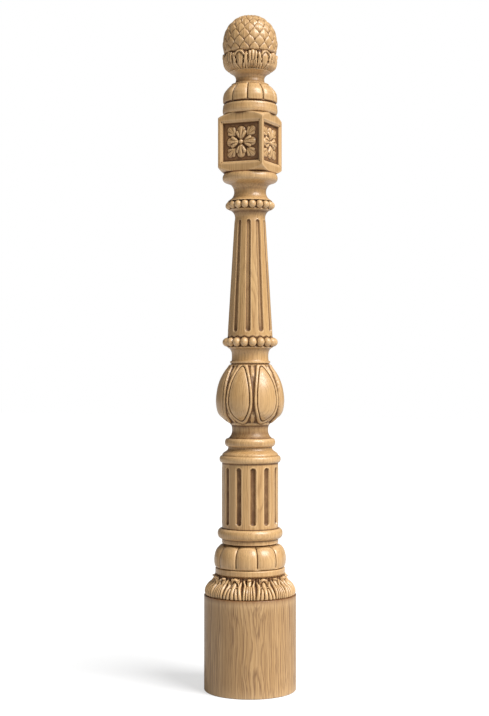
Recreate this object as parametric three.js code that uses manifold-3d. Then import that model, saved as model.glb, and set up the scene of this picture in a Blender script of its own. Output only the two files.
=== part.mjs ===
// Newel post in carved and turned oak, in millimetres, +Z up, standing on the origin.
// Six solid lengths of wood stand on each other: a plain drum, a collar of curled leaves, a lower
// shaft with flutes and an egg, an upper shaft with beads and a fluted taper, a square block with
// rosettes, and a pine cone finial.

import * as THREE from "three";
import { mergeVertices } from "three/addons/utils/BufferGeometryUtils.js";
import Module from "manifold-3d";

const wasm = await Module();
wasm.setup();

// Base drum
const baseRadius = 82;
const baseHeight = 170;
const baseBevel = 1.5;

// Joints between two lengths: each shows as a small V all the way round
const jointDepth = 3;
const jointRise = 1.5;

// Where two forms of one length meet, the wider one stands out past the other by this much
const overhang = 1;

// Leaf collar: band of leaves, ring, cushion of lobes
const leafPairs = 8;
const leafBandHeight = 37;
const leafSetback = 0.5;
const leafThroatRadius = 65;
const leafTipReach = 1.5;
const hoodReach = 6;
const leafGrooveDepth = 4.5;
const collarRingRadius = 62;
const collarRingHeight = 11;
const collarGrooveRadius = 60.5;
const collarGrooveHeight = 2;
const cushionLobes = 10;
const cushionGrooveDepth = 4.5;
const lowerCushionRadius = 64.4;
const lowerCushionFootRadius = 61.5;
const lowerCushionTopRadius = 47;
const lowerCushionHeight = 40;
const lowerCushionSwell = 13;

// Lower shaft: foot, fluted drum, ring and steps, egg
const footFilletRadius = 50.3;
const footFilletHeight = 9.5;
const footTorusRadius = 58;
const footTorusHeight = 18;
const fluteDrumRadius = 50;
const fluteDrumHeight = 117;
const drumFlutes = 12;
const drumFluteWidth = 10.5;
const drumFluteDepth = 4.2;
const drumFluteMargin = 7.5;
const drumRingRadius = 54.6;
const drumRingHeight = 12;
const stepRadius = 50;
const stepHeight = 1.5;
const slopeHeight = 11.5;
const coveRadius = 39.2;
const coveHeight = 3;
const eggTorusRadius = 45;
const eggTorusHeight = 15;
const eggNeckRadius = 32.2;
const eggNeckHeight = 21;
const eggRadius = 60.2;
const eggLowerHeight = 46.5;
const eggUpperHeight = 64.5;
const eggUpperCurve = 2.3;
const eggTopRadius = 36.5;
const eggOvals = 7;
const eggTurn = 3.8;
const ovalGrooveDepth = 2.2;
const ovalRimRelief = 0.4;
const ovalValleyDepth = 3.6;

// Upper shaft: seat, neck, beads, fluted taper, beads, neck, torus
const seatRadius = 35.8;
const seatHeight = 5.5;
const lowNeckRadius = 32.4;
const lowNeckHeight = 9;
const lowFlareRadius = 40;
const lowFlareHeight = 15.5;
const beadsPerRing = 18;
const lowBeadReach = 49.4;
const lowBeadHeight = 18;
const lowBeadCore = 41;
const taperFootRadius = 40;
const taperTopRadius = 27.4;
const taperHeight = 212;
const taperFlutes = 10;
const taperFluteWidthLow = 9.6;
const taperFluteWidthHigh = 7.4;
const taperFluteDepth = 3.4;
const taperFluteMarginLow = 9;
const taperFluteMarginHigh = 4;
const highFlareRadius = 34.5;
const highFlareHeight = 14.25;
const highBeadReach = 44.1;
const highBeadHeight = 15.5;
const highBeadCore = 36;
const highNeckFlare = 2.5;
const highNeckRadius = 28.5;
const highNeckLowerHeight = 14.5;
const highNeckUpperHeight = 18;
const shoulderRadius = 41;
const shoulderTorusRadius = 49.2;
const shoulderTorusHeight = 16.75;

// Rosette block
const blockSide = 87;
const blockHeight = 104;
const blockShoulder = 11;
const blockEdgeBevel = 1.2;
const panelMarginSide = 5;
const panelMarginEnd = 14.4;
const panelDepth = 6.2;
const panelSlope = 4.2;
const rosetteClearance = 4;
const rosetteBallRadius = 4.2;
const rosetteSunk = 1;
const petalWidth = 22;
const petalLift = 5;
const cornerLeafStart = 2.4;
const cornerLeafReach = 1.3;
const cornerLeafWidth = 15;
const cornerLeafLift = 2.6;
const blockRingRadius = 49;
const blockRingHeight = 20.5;
const blockRingSwell = 8;
const blockRingLean = 1.5;
const shoulderInset = 2;

// Finial
const upperCushionRadius = 48.4;
const upperCushionHeight = 32;
const upperCushionUpright = 11;
const upperCushionTopRadius = 34;
const finialNeckRadius = 25.4;
const finialNeckHeight = 17.5;
const finialNeckHollow = 10.5;
const calyxRadius = 49;
const calyxHeight = 40.5;
const calyxPairs = 6;
const calyxGrooveDepth = 4.5;
const calyxTipReach = 2.2;
const coneRadius = 48.6;
const coneHeight = 66.5;
const coneScales = 16;
const coneRows = 5;
const coneTopRadius = 10;
const coneShoulder = 0.2;
const coneCurve = 2.6;
const scaleRelief = 1.8;

// How finely the round parts are faceted
const baseSegments = 40;
const wideSegments = 22;
const slimSegments = 20;
const curveSteps = 2;

const TURN = 2 * Math.PI;
const degrees = (value) => THREE.MathUtils.degToRad(value);
const mix = THREE.MathUtils.lerp;

// A turner's outline: radius and height pairs that run upwards.
class Outline {
  constructor(radius, height) {
    this.points = [new THREE.Vector2(radius, height)];
  }

  get top() {
    return this.points.at(-1);
  }

  line(radius, rise) {
    this.points.push(new THREE.Vector2(radius, this.top.y + rise));
    return this;
  }

  // A quarter of an ellipse that sets off sideways and arrives upright.
  sideways(radius, rise, steps = curveSteps) {
    const start = this.top.clone();
    for (let step = 1; step <= steps; step += 1) {
      const angle = (step / steps) * (Math.PI / 2);
      const across = mix(start.x, radius, Math.sin(angle));
      this.points.push(new THREE.Vector2(across, start.y + rise * (1 - Math.cos(angle))));
    }
    return this;
  }

  // A quarter of an ellipse that sets off upright and arrives sideways.
  upright(radius, rise, steps = curveSteps) {
    const start = this.top.clone();
    for (let step = 1; step <= steps; step += 1) {
      const angle = (step / steps) * (Math.PI / 2);
      const across = mix(start.x, radius, 1 - Math.cos(angle));
      this.points.push(new THREE.Vector2(across, start.y + rise * Math.sin(angle)));
    }
    return this;
  }

  // A half round that swells to a radius and comes back to another.
  torus(widest, radius, rise) {
    return this.sideways(widest, rise / 2).upright(radius, rise / 2);
  }

  // A smooth S that sets off and arrives upright.
  slope(radius, rise, steps = curveSteps + 1) {
    const start = this.top.clone();
    for (let step = 1; step <= steps; step += 1) {
      const share = step / steps;
      const across = mix(start.x, radius, THREE.MathUtils.smoothstep(share, 0, 1));
      this.points.push(new THREE.Vector2(across, start.y + rise * share));
    }
    return this;
  }
}

// A closed solid from a three.js geometry, with its shared corners merged.
function solidFrom(geometry) {
  const bare = geometry.index ? geometry.toNonIndexed() : geometry.clone();
  bare.deleteAttribute("normal");
  bare.deleteAttribute("uv");
  const merged = mergeVertices(bare, 1e-4);
  const corners = merged.index.array;
  const triangles = [];
  for (let start = 0; start < corners.length; start += 3) {
    const [a, b, c] = corners.slice(start, start + 3);
    if (a !== b && b !== c && c !== a) {
      triangles.push(a, b, c);
    }
  }
  const mesh = new wasm.Mesh({
    numProp: 3,
    vertProperties: new Float32Array(merged.attributes.position.array),
    triVerts: new Uint32Array(triangles),
  });
  return new wasm.Manifold(mesh);
}

function joined(solids) {
  return solids.reduce((whole, solid) => whole.add(solid));
}

// A solid of revolution from an outline.
function turned(outline, segments) {
  const first = outline.points[0];
  const profile = [new THREE.Vector2(0, first.y), ...outline.points, new THREE.Vector2(0, outline.top.y)];
  return solidFrom(new THREE.LatheGeometry(profile, segments).rotateX(Math.PI / 2));
}

// A closed body carved all round. pointAt(column, row) gives the angle, radius and height of a point,
// and the first and last rows are flat. Faces split along the diagonal that crease(column, row) picks.
function carved(columns, rows, pointAt, crease = () => false) {
  const positions = [];
  for (let row = 0; row < rows; row += 1) {
    for (let column = 0; column < columns; column += 1) {
      const { angle, radius, height } = pointAt(column, row);
      positions.push(radius * Math.cos(angle), radius * Math.sin(angle), height);
    }
  }
  const bottomCentre = positions.length / 3;
  positions.push(0, 0, pointAt(0, 0).height);
  positions.push(0, 0, pointAt(0, rows - 1).height);
  const triangles = [];
  for (let column = 0; column < columns; column += 1) {
    const next = (column + 1) % columns;
    const topRow = (rows - 1) * columns;
    triangles.push(bottomCentre, next, column);
    triangles.push(bottomCentre + 1, topRow + column, topRow + next);
    for (let row = 0; row < rows - 1; row += 1) {
      const a = row * columns + column;
      const b = row * columns + next;
      const c = a + columns;
      const d = b + columns;
      if (crease(column, row)) {
        triangles.push(a, b, c, b, d, c);
      } else {
        triangles.push(a, b, d, a, d, c);
      }
    }
  }
  const geometry = new THREE.BufferGeometry();
  geometry.setAttribute("position", new THREE.Float32BufferAttribute(positions, 3));
  geometry.setIndex(triangles);
  return solidFrom(geometry);
}

// Base drum: plain, with a worn edge at the top and the bottom.
function baseDrum() {
  const outline = new Outline(baseRadius - baseBevel, 0)
    .line(baseRadius, baseBevel)
    .line(baseRadius, baseHeight - 2 * baseBevel)
    .line(baseRadius - baseBevel, baseBevel);
  return turned(outline, baseSegments);
}

// A cushion of upright lobes. The outline gives the crown of a lobe, and the valleys lie deeper
// in the middle of the cushion than at its foot and top.
function lobedCushion(outline, lobes, depth, turn) {
  const perLobe = 4;
  const fullness = [0, 0.8, 1, 0.8];
  const foot = outline.points[0].y;
  const height = outline.top.y - foot;
  return carved(lobes * perLobe, outline.points.length, (column, row) => {
    const point = outline.points[row];
    const share = (point.y - foot) / height;
    const valley = depth * Math.sqrt(Math.max(0, 4 * share * (1 - share)));
    return {
      angle: turn + (column / (lobes * perLobe)) * TURN,
      radius: point.x - valley * (1 - fullness[column % perLobe]),
      height: point.y,
    };
  });
}

// Band of hooded leaves with fan leaves between them. Each leaf bulges over the drum, draws in to
// a throat and curls out again at its tip.
function leafBand() {
  const perPair = 8;
  const columns = leafPairs * perPair;
  const footRadius = baseRadius - leafSetback;
  const stations = [
    { share: 0, body: footRadius - jointDepth, hood: 0, groove: 0.3 },
    { share: 0.1, body: footRadius, hood: 0, groove: 0.8 },
    { share: 0.35, body: mix(footRadius, leafThroatRadius, 0.1), hood: 0.1, groove: 1 },
    { share: 0.6, body: mix(footRadius, leafThroatRadius, 0.56), hood: 0.35, groove: 0.85 },
    { share: 0.8, body: leafThroatRadius, hood: 0.7, groove: 0.6 },
    { share: 0.92, body: leafThroatRadius + leafTipReach, hood: 1, groove: 0.9 },
    { share: 1, body: leafThroatRadius - leafTipReach, hood: 0.3, groove: 0.3 },
  ];
  const hoodShape = [1, 0.75, 0, 0, 0, 0, 0, 0.75];
  const grooveShape = [0, 0.2, 1, 0.35, 0, 0.35, 1, 0.2];
  return carved(columns, stations.length, (column, row) => {
    const station = stations[row];
    const place = column % perPair;
    const hood = hoodReach * station.hood * hoodShape[place];
    const groove = leafGrooveDepth * station.groove * grooveShape[place];
    return {
      angle: degrees(-90) + (column / columns) * TURN,
      radius: station.body + hood - groove,
      height: leafBandHeight * station.share,
    };
  });
}

function leafCollar() {
  const ring = new Outline(collarRingRadius, leafBandHeight)
    .line(collarRingRadius, collarRingHeight)
    .line(collarGrooveRadius, 0)
    .line(collarGrooveRadius, collarGrooveHeight);
  const cushion = new Outline(lowerCushionFootRadius, ring.top.y)
    .sideways(lowerCushionRadius, lowerCushionSwell, 2)
    .upright(lowerCushionTopRadius, lowerCushionHeight - lowerCushionSwell, 3);
  const lobes = lobedCushion(cushion, cushionLobes, cushionGrooveDepth, degrees(-90));
  return { solid: joined([leafBand(), turned(ring, wideSegments), lobes]), height: cushion.top.y };
}

// Depth of a round-bottomed flute at a place `across` from its middle and `beyond` its straight
// part, as a share of its full depth.
function fluteShare(across, beyond, halfWidth) {
  const distance = Math.hypot(across, Math.max(0, beyond)) / halfWidth;
  return Math.sqrt(Math.max(0, 1 - distance * distance));
}

// Heights where a run of flutes needs a row: its round ends and its straight middle.
function fluteHeights(low, high, lowHalf, highHalf) {
  return [low, low + lowHalf * 0.6, high - highHalf * 0.6, high];
}

// A round body with upright flutes. radiusAt(height) is the uncut outline, and width(height) is the
// width of a flute.
function fluted({ count, heights, low, high, depth, turn, radiusAt, width }) {
  const places = [-1, -0.6, 0.6, 1];
  return carved(count * places.length, heights.length, (column, row) => {
    const height = heights[row];
    const halfWidth = width(height) / 2;
    const radius = radiusAt(height);
    const across = places[column % places.length] * halfWidth;
    const flute = Math.floor(column / places.length);
    const beyond = Math.max(low + width(low) / 2 - height, height - (high - width(high) / 2));
    return {
      angle: turn + (flute / count) * TURN + across / radius,
      radius: radius - depth * fluteShare(across, beyond, halfWidth),
      height,
    };
  });
}

function flutedDrum(foot) {
  const low = foot + drumFluteMargin;
  const high = foot + fluteDrumHeight - drumFluteMargin;
  const half = drumFluteWidth / 2;
  return fluted({
    count: drumFlutes,
    heights: [foot, ...fluteHeights(low, high, half, half), foot + fluteDrumHeight],
    low,
    high,
    depth: drumFluteDepth,
    turn: degrees(-90),
    radiusAt: () => fluteDrumRadius,
    width: () => drumFluteWidth,
  });
}

// The egg on its neck: long ovals, each with a groove inside a raised rim, and a valley between two
// rims.
function egg(foot) {
  const neckRows = [
    { rise: 0, radius: coveRadius },
    { rise: 0.3, radius: mix(coveRadius, eggNeckRadius, 0.75) },
    { rise: 0.85, radius: eggNeckRadius },
  ];
  const bodyFoot = foot + eggNeckHeight;
  const widest = bodyFoot + eggLowerHeight;
  const lower = [
    { rise: 0, share: 0 },
    { rise: 0.16, share: 0.19 },
    { rise: 0.4, share: 0.69 },
    { rise: 0.6, share: 0.9 },
    { rise: 1, share: 1 },
  ];
  const stations = neckRows.map(({ rise, radius }) => ({ height: foot + rise * eggNeckHeight, radius }));
  for (const { rise, share } of lower) {
    const radius = mix(eggNeckRadius + overhang, eggRadius, share);
    stations.push({ height: bodyFoot + rise * eggLowerHeight, radius });
  }
  const upperSteps = 4;
  for (let step = 1; step <= upperSteps; step += 1) {
    const rise = step / upperSteps;
    const drop = Math.pow(rise, eggUpperCurve);
    stations.push({ height: widest + rise * eggUpperHeight, radius: mix(eggRadius, eggTopRadius, drop) });
  }
  const top = stations.at(-1).height;
  const sector = TURN / eggOvals;
  const places = [
    { across: 0, drop: 0 },
    { across: 0.77, drop: ovalGrooveDepth },
    { across: 0.87, drop: -ovalRimRelief },
  ];
  const sides = [...places, { across: 1, drop: ovalValleyDepth }, ...places.slice(1).reverse().map(
    ({ across, drop }) => ({ across: 2 - across, drop }),
  )];
  return carved(eggOvals * sides.length, stations.length, (column, row) => {
    const { height, radius } = stations[row];
    const side = sides[column % sides.length];
    const oval = Math.floor(column / sides.length);
    const rise = THREE.MathUtils.clamp((height - bodyFoot) / (top - bodyFoot), 0, 1);
    const fullness = Math.sqrt(Math.max(0, 1 - Math.pow(2 * rise - 1, 4)));
    return {
      angle: degrees(-90 + eggTurn) + oval * sector + (side.across * sector) / 2,
      radius: radius - side.drop * fullness,
      height,
    };
  });
}

function lowerShaft() {
  const foot = new Outline(footFilletRadius - jointDepth, 0)
    .line(footFilletRadius, jointRise)
    .line(footFilletRadius, footFilletHeight - jointRise)
    .torus(footTorusRadius, fluteDrumRadius + overhang, footTorusHeight);
  const drumTop = foot.top.y + fluteDrumHeight;
  const steps = new Outline(fluteDrumRadius + overhang, drumTop)
    .torus(drumRingRadius, stepRadius + overhang, drumRingHeight)
    .line(stepRadius, 0)
    .line(stepRadius, stepHeight)
    .slope(coveRadius, slopeHeight)
    .line(coveRadius, coveHeight)
    .torus(eggTorusRadius, coveRadius + overhang, eggTorusHeight);
  const parts = [turned(foot, wideSegments), flutedDrum(foot.top.y), turned(steps, wideSegments), egg(steps.top.y)];
  const height = steps.top.y + eggNeckHeight + eggLowerHeight + eggUpperHeight;
  return { solid: joined(parts), height };
}

// A ring of beads round a core. A bead is as wide as its share of the ring, and the core closes
// the ring where two beads meet.
function beadRing(foot, height, core, reach) {
  const perBead = 3;
  const columns = beadsPerRing * perBead;
  const levels = [-1, -0.7, 0, 0.7, 1];
  return carved(columns, levels.length, (column, row) => {
    const level = levels[row];
    const around = (2 * (column % perBead)) / perBead - 1;
    const swell = Math.sqrt(Math.max(0, 1 - level * level)) * Math.sqrt(Math.max(0.1, 1 - around * around));
    return {
      angle: degrees(-90) + (column / columns) * TURN,
      radius: core + (reach - core) * swell,
      height: foot + (height * (level + 1)) / 2,
    };
  });
}

// The fluted taper, with a short foot and a flare at its top.
function flutedTaper(foot) {
  const low = foot + taperFluteMarginLow;
  const shaftTop = foot + taperHeight;
  const high = shaftTop - taperFluteMarginHigh;
  const top = shaftTop + highFlareHeight;
  const radiusAt = (height) => {
    const flare = THREE.MathUtils.clamp((height - shaftTop) / highFlareHeight, 0, 1);
    const share = THREE.MathUtils.clamp((height - foot) / taperHeight, 0, 1);
    return mix(mix(taperFootRadius, taperTopRadius, share), highFlareRadius, flare * flare);
  };
  const width = (height) => {
    const share = THREE.MathUtils.clamp((height - low) / (high - low), 0, 1);
    return mix(taperFluteWidthLow, taperFluteWidthHigh, share);
  };
  const middle = fluteHeights(low, high, taperFluteWidthLow / 2, taperFluteWidthHigh / 2);
  return fluted({
    count: taperFlutes,
    heights: [foot, ...middle, shaftTop, shaftTop + highFlareHeight * 0.6, top],
    low,
    high,
    depth: taperFluteDepth,
    turn: degrees(-90 + 180 / taperFlutes),
    radiusAt,
    width,
  });
}

function upperShaft() {
  const seat = new Outline(seatRadius - jointDepth, 0)
    .line(seatRadius, jointRise)
    .line(seatRadius, seatHeight - jointRise)
    .line(lowNeckRadius + overhang, 0)
    .sideways(lowNeckRadius, lowNeckHeight, 2)
    .upright(lowFlareRadius, lowFlareHeight, 3);
  const taperFoot = seat.top.y + lowBeadHeight;
  const taperTop = taperFoot + taperHeight + highFlareHeight;
  const neckFoot = taperTop + highBeadHeight;
  const neck = new Outline(highBeadCore + highNeckFlare, neckFoot)
    .sideways(highNeckRadius, highNeckLowerHeight)
    .upright(shoulderRadius, highNeckUpperHeight, 3)
    .torus(shoulderTorusRadius, shoulderTorusRadius - jointDepth, shoulderTorusHeight);
  const parts = [
    turned(seat, slimSegments),
    beadRing(seat.top.y, lowBeadHeight, lowBeadCore, lowBeadReach),
    flutedTaper(taperFoot),
    beadRing(taperTop, highBeadHeight, highBeadCore, highBeadReach),
    turned(neck, wideSegments),
  ];
  return { solid: joined(parts), height: neck.top.y };
}

// A low leaf or petal that lies on the panel: a root, three lobes and a raised midrib. It is
// drawn pointing along +Y from the rosette's centre, with +Z out of the panel.
function leafRelief(start, reach, width, lift, sunk) {
  const half = width / 2;
  const outline = [
    [0.2 * half, 0],
    [half, 0.5],
    [0.5 * half, 0.66],
    [0.45 * half, 0.86],
    [0, 1],
  ];
  const rim = [...outline, ...outline.slice(0, -1).reverse().map(([x, y]) => [-x, y])];
  const at = (x, share, z) => [x, mix(start, reach, share), z];
  const positions = [];
  for (const [x, share] of rim) {
    positions.push(...at(x, share, -sunk));
  }
  const count = rim.length;
  positions.push(...at(0, 0.15, lift * 0.7), ...at(0, 0.6, lift));
  const backCentre = positions.length / 3;
  positions.push(...at(0, 0.5, -sunk));
  const ribOf = [0, 0, 1, 1, 1, 1, 1, 0, 0];
  const triangles = [];
  for (let index = 0; index < count; index += 1) {
    const next = (index + 1) % count;
    const ribHere = count + ribOf[index];
    const ribNext = count + ribOf[next];
    triangles.push(backCentre, next, index, index, next, ribNext);
    if (ribHere !== ribNext) {
      triangles.push(index, ribNext, ribHere);
    }
  }
  const geometry = new THREE.BufferGeometry();
  geometry.setAttribute("position", new THREE.Float32BufferAttribute(positions, 3));
  geometry.setIndex(triangles);
  return geometry;
}

// Everything carved in one face of the block, drawn on a panel that faces +Z.
function rosetteGeometries() {
  const across = blockSide / 2 - panelMarginSide - panelSlope - rosetteClearance;
  const upwards = blockHeight / 2 - panelMarginEnd - panelSlope - rosetteClearance;
  const reach = Math.min(across, upwards);
  const start = rosetteBallRadius - overhang;
  const geometries = [];
  for (let quarter = 0; quarter < 4; quarter += 1) {
    const petal = leafRelief(start, reach, petalWidth, petalLift, rosetteSunk);
    geometries.push(petal.rotateZ((quarter * Math.PI) / 2));
    const cornerStart = start * cornerLeafStart;
    const cornerReach = reach * cornerLeafReach;
    const leaf = leafRelief(cornerStart, cornerReach, cornerLeafWidth, cornerLeafLift, rosetteSunk);
    geometries.push(leaf.rotateZ(((quarter + 0.5) * Math.PI) / 2));
  }
  const ball = new THREE.SphereGeometry(rosetteBallRadius, 6, 4);
  geometries.push(ball.translate(0, 0, rosetteBallRadius / 2));
  return geometries;
}

// The cutter for a sunk panel: a box whose walls lean in towards the floor.
function panelCutter() {
  const halfWidth = blockSide / 2 - panelMarginSide;
  const halfHeight = blockHeight / 2 - panelMarginEnd;
  const above = 1;
  const lean = (panelSlope * (panelDepth + above)) / panelDepth;
  const cutter = new THREE.BoxGeometry(2, 2, panelDepth + above);
  const place = cutter.attributes.position;
  for (let index = 0; index < place.count; index += 1) {
    const inner = place.getZ(index) < 0 ? panelSlope : panelSlope - lean;
    place.setX(index, place.getX(index) * (halfWidth - inner));
    place.setY(index, place.getY(index) * (halfHeight - inner));
  }
  return cutter.translate(0, 0, (panelDepth + above) / 2);
}

// Moves a geometry drawn on a panel floor that faces +Z onto one of the four faces of the block.
function ontoFace(geometry, face) {
  return geometry
    .translate(0, 0, blockSide / 2 - panelDepth)
    .rotateX(Math.PI / 2)
    .rotateZ((face * Math.PI) / 2)
    .translate(0, 0, blockHeight / 2);
}

function rosetteBlock() {
  const half = blockSide / 2;
  const section = new THREE.Shape();
  for (let corner = 0; corner < 4; corner += 1) {
    const turn = (corner * Math.PI) / 2;
    for (const [x, y] of [[half, half - blockEdgeBevel], [half - blockEdgeBevel, half]]) {
      const px = x * Math.cos(turn) - y * Math.sin(turn);
      const py = x * Math.sin(turn) + y * Math.cos(turn);
      if (corner === 0 && x === half) {
        section.moveTo(px, py);
      } else {
        section.lineTo(px, py);
      }
    }
  }
  const bar = new THREE.ExtrudeGeometry(section, { depth: blockHeight, bevelEnabled: false });
  const cornerReach = half * Math.SQRT2;
  const barrel = new Outline(half + shoulderInset, 0)
    .sideways(cornerReach, blockShoulder)
    .line(cornerReach, blockHeight - 2 * blockShoulder)
    .upright(half + shoulderInset, blockShoulder);
  let solid = solidFrom(bar).intersect(turned(barrel, wideSegments));
  for (let face = 0; face < 4; face += 1) {
    solid = solid.subtract(solidFrom(ontoFace(panelCutter(), face)));
  }
  for (let face = 0; face < 4; face += 1) {
    for (const geometry of rosetteGeometries()) {
      solid = solid.add(solidFrom(ontoFace(geometry, face)));
    }
  }
  const ring = new Outline(blockRingRadius - jointDepth, blockHeight)
    .sideways(blockRingRadius, blockRingSwell)
    .line(blockRingRadius - blockRingLean, blockRingHeight - blockRingSwell - jointRise)
    .line(blockRingRadius - jointDepth, jointRise);
  return { solid: solid.add(turned(ring, wideSegments)), height: ring.top.y };
}

// The cup of leaves under the cone: hooded leaves with fan leaves between them.
function calyx(foot) {
  const perPair = 8;
  const columns = calyxPairs * perPair;
  const stations = [
    { share: 0, body: finialNeckRadius + 2 * overhang, tip: 0, groove: 0 },
    { share: 0.18, body: mix(finialNeckRadius, calyxRadius, 0.52), tip: 0, groove: 0.6 },
    { share: 0.42, body: mix(finialNeckRadius, calyxRadius, 0.88), tip: 0, groove: 1 },
    { share: 0.7, body: calyxRadius - overhang, tip: 0.2, groove: 1 },
    { share: 0.88, body: calyxRadius - calyxTipReach, tip: 1, groove: 1 },
    { share: 1, body: calyxRadius - 2 * calyxTipReach, tip: 0, groove: 0.3 },
  ];
  const tipShape = [1, 0.6, 0, 0.5, 0.9, 0.5, 0, 0.6];
  const grooveShape = [0, 0.2, 1, 0.35, 0.1, 0.35, 1, 0.2];
  return carved(columns, stations.length, (column, row) => {
    const station = stations[row];
    const place = column % perPair;
    const tip = calyxTipReach * station.tip * tipShape[place];
    const groove = calyxGrooveDepth * station.groove * grooveShape[place];
    return {
      angle: degrees(-90) + (column / columns) * TURN,
      radius: station.body + tip - groove,
      height: foot + calyxHeight * station.share,
    };
  });
}

// The pine cone: a dome with scales in rows that step round by half a scale. Corners where four
// scales meet are pits, and the faces crease from pit to pit.
function pineCone(foot) {
  const columns = coneScales * 2;
  const rows = coneRows + 3;
  const stations = [{ height: foot, radius: coneRadius - 2 * overhang }];
  for (let row = 0; row <= coneRows; row += 1) {
    const share = (row + 0.6) / (coneRows + 1);
    const height = foot + coneHeight * share;
    const dome = Math.pow(Math.max(0, (share - coneShoulder) / (1 - coneShoulder)), coneCurve);
    stations.push({ height, radius: coneRadius * Math.sqrt(1 - dome) });
  }
  stations.push({ height: foot + coneHeight, radius: coneTopRadius });
  return carved(
    columns,
    rows,
    (column, row) => {
      const { height, radius } = stations[row];
      const edge = row === 0 || row === rows - 1;
      const relief = (column + row) % 2 === 0 ? scaleRelief / 2 : -scaleRelief / 2;
      return {
        angle: degrees(-90) + (column / columns) * TURN,
        radius: radius + (edge ? 0 : relief - scaleRelief / 2),
        height,
      };
    },
    (column, row) => (column + row) % 2 === 0,
  );
}

function finial() {
  const cushion = new Outline(upperCushionRadius - jointDepth, 0)
    .line(upperCushionRadius, jointRise)
    .line(upperCushionRadius, upperCushionUpright)
    .upright(upperCushionTopRadius, upperCushionHeight - upperCushionUpright - jointRise, 3);
  const neck = new Outline(upperCushionTopRadius - overhang, cushion.top.y)
    .sideways(finialNeckRadius, finialNeckHollow)
    .line(finialNeckRadius + overhang, finialNeckHeight - finialNeckHollow);
  const coneFoot = neck.top.y + calyxHeight;
  const parts = [
    lobedCushion(cushion, cushionLobes, cushionGrooveDepth, degrees(-90 + 180 / cushionLobes)),
    turned(neck, slimSegments),
    calyx(neck.top.y),
    pineCone(coneFoot),
  ];
  return { solid: joined(parts), height: coneFoot + coneHeight };
}

// A named mesh of a solid in oak, standing at a height.
function piece(name, solid, height, material) {
  const { vertProperties, triVerts, numProp } = solid.getMesh();
  const geometry = new THREE.BufferGeometry();
  const corners = new THREE.InterleavedBuffer(vertProperties, numProp);
  geometry.setAttribute("position", new THREE.InterleavedBufferAttribute(corners, 3, 0));
  geometry.setIndex(new THREE.BufferAttribute(triVerts, 1));
  const mesh = new THREE.Mesh(geometry.toNonIndexed(), material);
  mesh.geometry.computeVertexNormals();
  mesh.name = name;
  mesh.position.z = height;
  return mesh;
}

const oak = new THREE.MeshStandardMaterial({ color: 0xb58a5c, roughness: 0.45, metalness: 0 });

const post = new THREE.Group();
let level = 0;
const stack = [
  ["base_drum", { solid: baseDrum(), height: baseHeight }],
  ["leaf_collar", leafCollar()],
  ["lower_shaft", lowerShaft()],
  ["upper_shaft", upperShaft()],
  ["rosette_block", rosetteBlock()],
  ["finial", finial()],
];
for (const [name, { solid, height }] of stack) {
  post.add(piece(name, solid, level, oak));
  level += height;
}

export default post;
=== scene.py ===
"""Newel post in carved and turned oak: its carved surfaces, oak finishes, floor, light and camera.

Shapes are worked out in millimetres and put into the meshes in metres. Every piece is one closed
surface on a grid: columns run round the post and rows run up it. An angle of 0 is the middle of
the block's front face, and angles grow anticlockwise as seen from above.
"""
import math

import bpy
import numpy as np
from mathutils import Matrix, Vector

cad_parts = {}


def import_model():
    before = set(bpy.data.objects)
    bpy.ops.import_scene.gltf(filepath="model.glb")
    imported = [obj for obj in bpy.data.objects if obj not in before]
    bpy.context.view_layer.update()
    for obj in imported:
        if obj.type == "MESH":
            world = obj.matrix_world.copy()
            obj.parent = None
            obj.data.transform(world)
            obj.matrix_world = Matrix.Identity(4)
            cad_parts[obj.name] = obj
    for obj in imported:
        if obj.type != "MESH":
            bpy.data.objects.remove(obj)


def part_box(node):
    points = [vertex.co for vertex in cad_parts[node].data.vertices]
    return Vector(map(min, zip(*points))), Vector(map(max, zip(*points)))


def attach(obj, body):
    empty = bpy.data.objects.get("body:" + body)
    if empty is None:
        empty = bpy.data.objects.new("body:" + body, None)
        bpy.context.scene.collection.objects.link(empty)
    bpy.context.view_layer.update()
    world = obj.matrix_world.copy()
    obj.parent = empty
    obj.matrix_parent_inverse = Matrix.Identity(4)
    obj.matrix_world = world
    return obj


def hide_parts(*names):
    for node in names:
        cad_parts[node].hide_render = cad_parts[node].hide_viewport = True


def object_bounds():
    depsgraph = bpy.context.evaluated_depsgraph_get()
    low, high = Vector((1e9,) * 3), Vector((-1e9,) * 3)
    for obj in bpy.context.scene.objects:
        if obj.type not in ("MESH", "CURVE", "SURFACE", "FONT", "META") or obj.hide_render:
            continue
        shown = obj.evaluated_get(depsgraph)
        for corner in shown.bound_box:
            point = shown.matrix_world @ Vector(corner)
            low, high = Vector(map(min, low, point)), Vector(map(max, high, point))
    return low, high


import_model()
cad_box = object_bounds()

MM = 0.001
FRONT = math.radians(-90.0)

# Widths of the surface grids, in columns
BASE_COLUMNS = 180
COLLAR_COLUMNS = 576
SHAFT_COLUMNS = 350
BLOCK_FACE_COLUMNS = 128
FINIAL_COLUMNS = 400

# Reach of the two measures of hollows, in grid cells
FINE_REACH = 2
BROAD_REACH = 6

# Share of the painted hollow shade that stays on stretches without carving
PLAIN_SHADE = 0.5

# Joint between two lengths of the post, and the height over which painted shade darkens it, for the shade in
# the gap
JOINT_DEPTH = 3.0
JOINT_RISE = 1.5
JOINT_SHADE = 0.95
JOINT_SHADE_FULL = 0.9
JOINT_SHADE_END = 1.7

# Outline corners: the furthest share of a run that an arc takes, and the cosine of a bend so slight
# that it stays as it is
CORNER_SHARE = 0.45
SLIGHT_BEND = -0.9

# Base drum
BASE_RADIUS = 82.0
BASE_HEIGHT = 170.0
BASE_FOOT_EDGE = 1.2
BASE_TOP_EDGE = 0.7
BASE_TOP_INSET = 1.8

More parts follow.
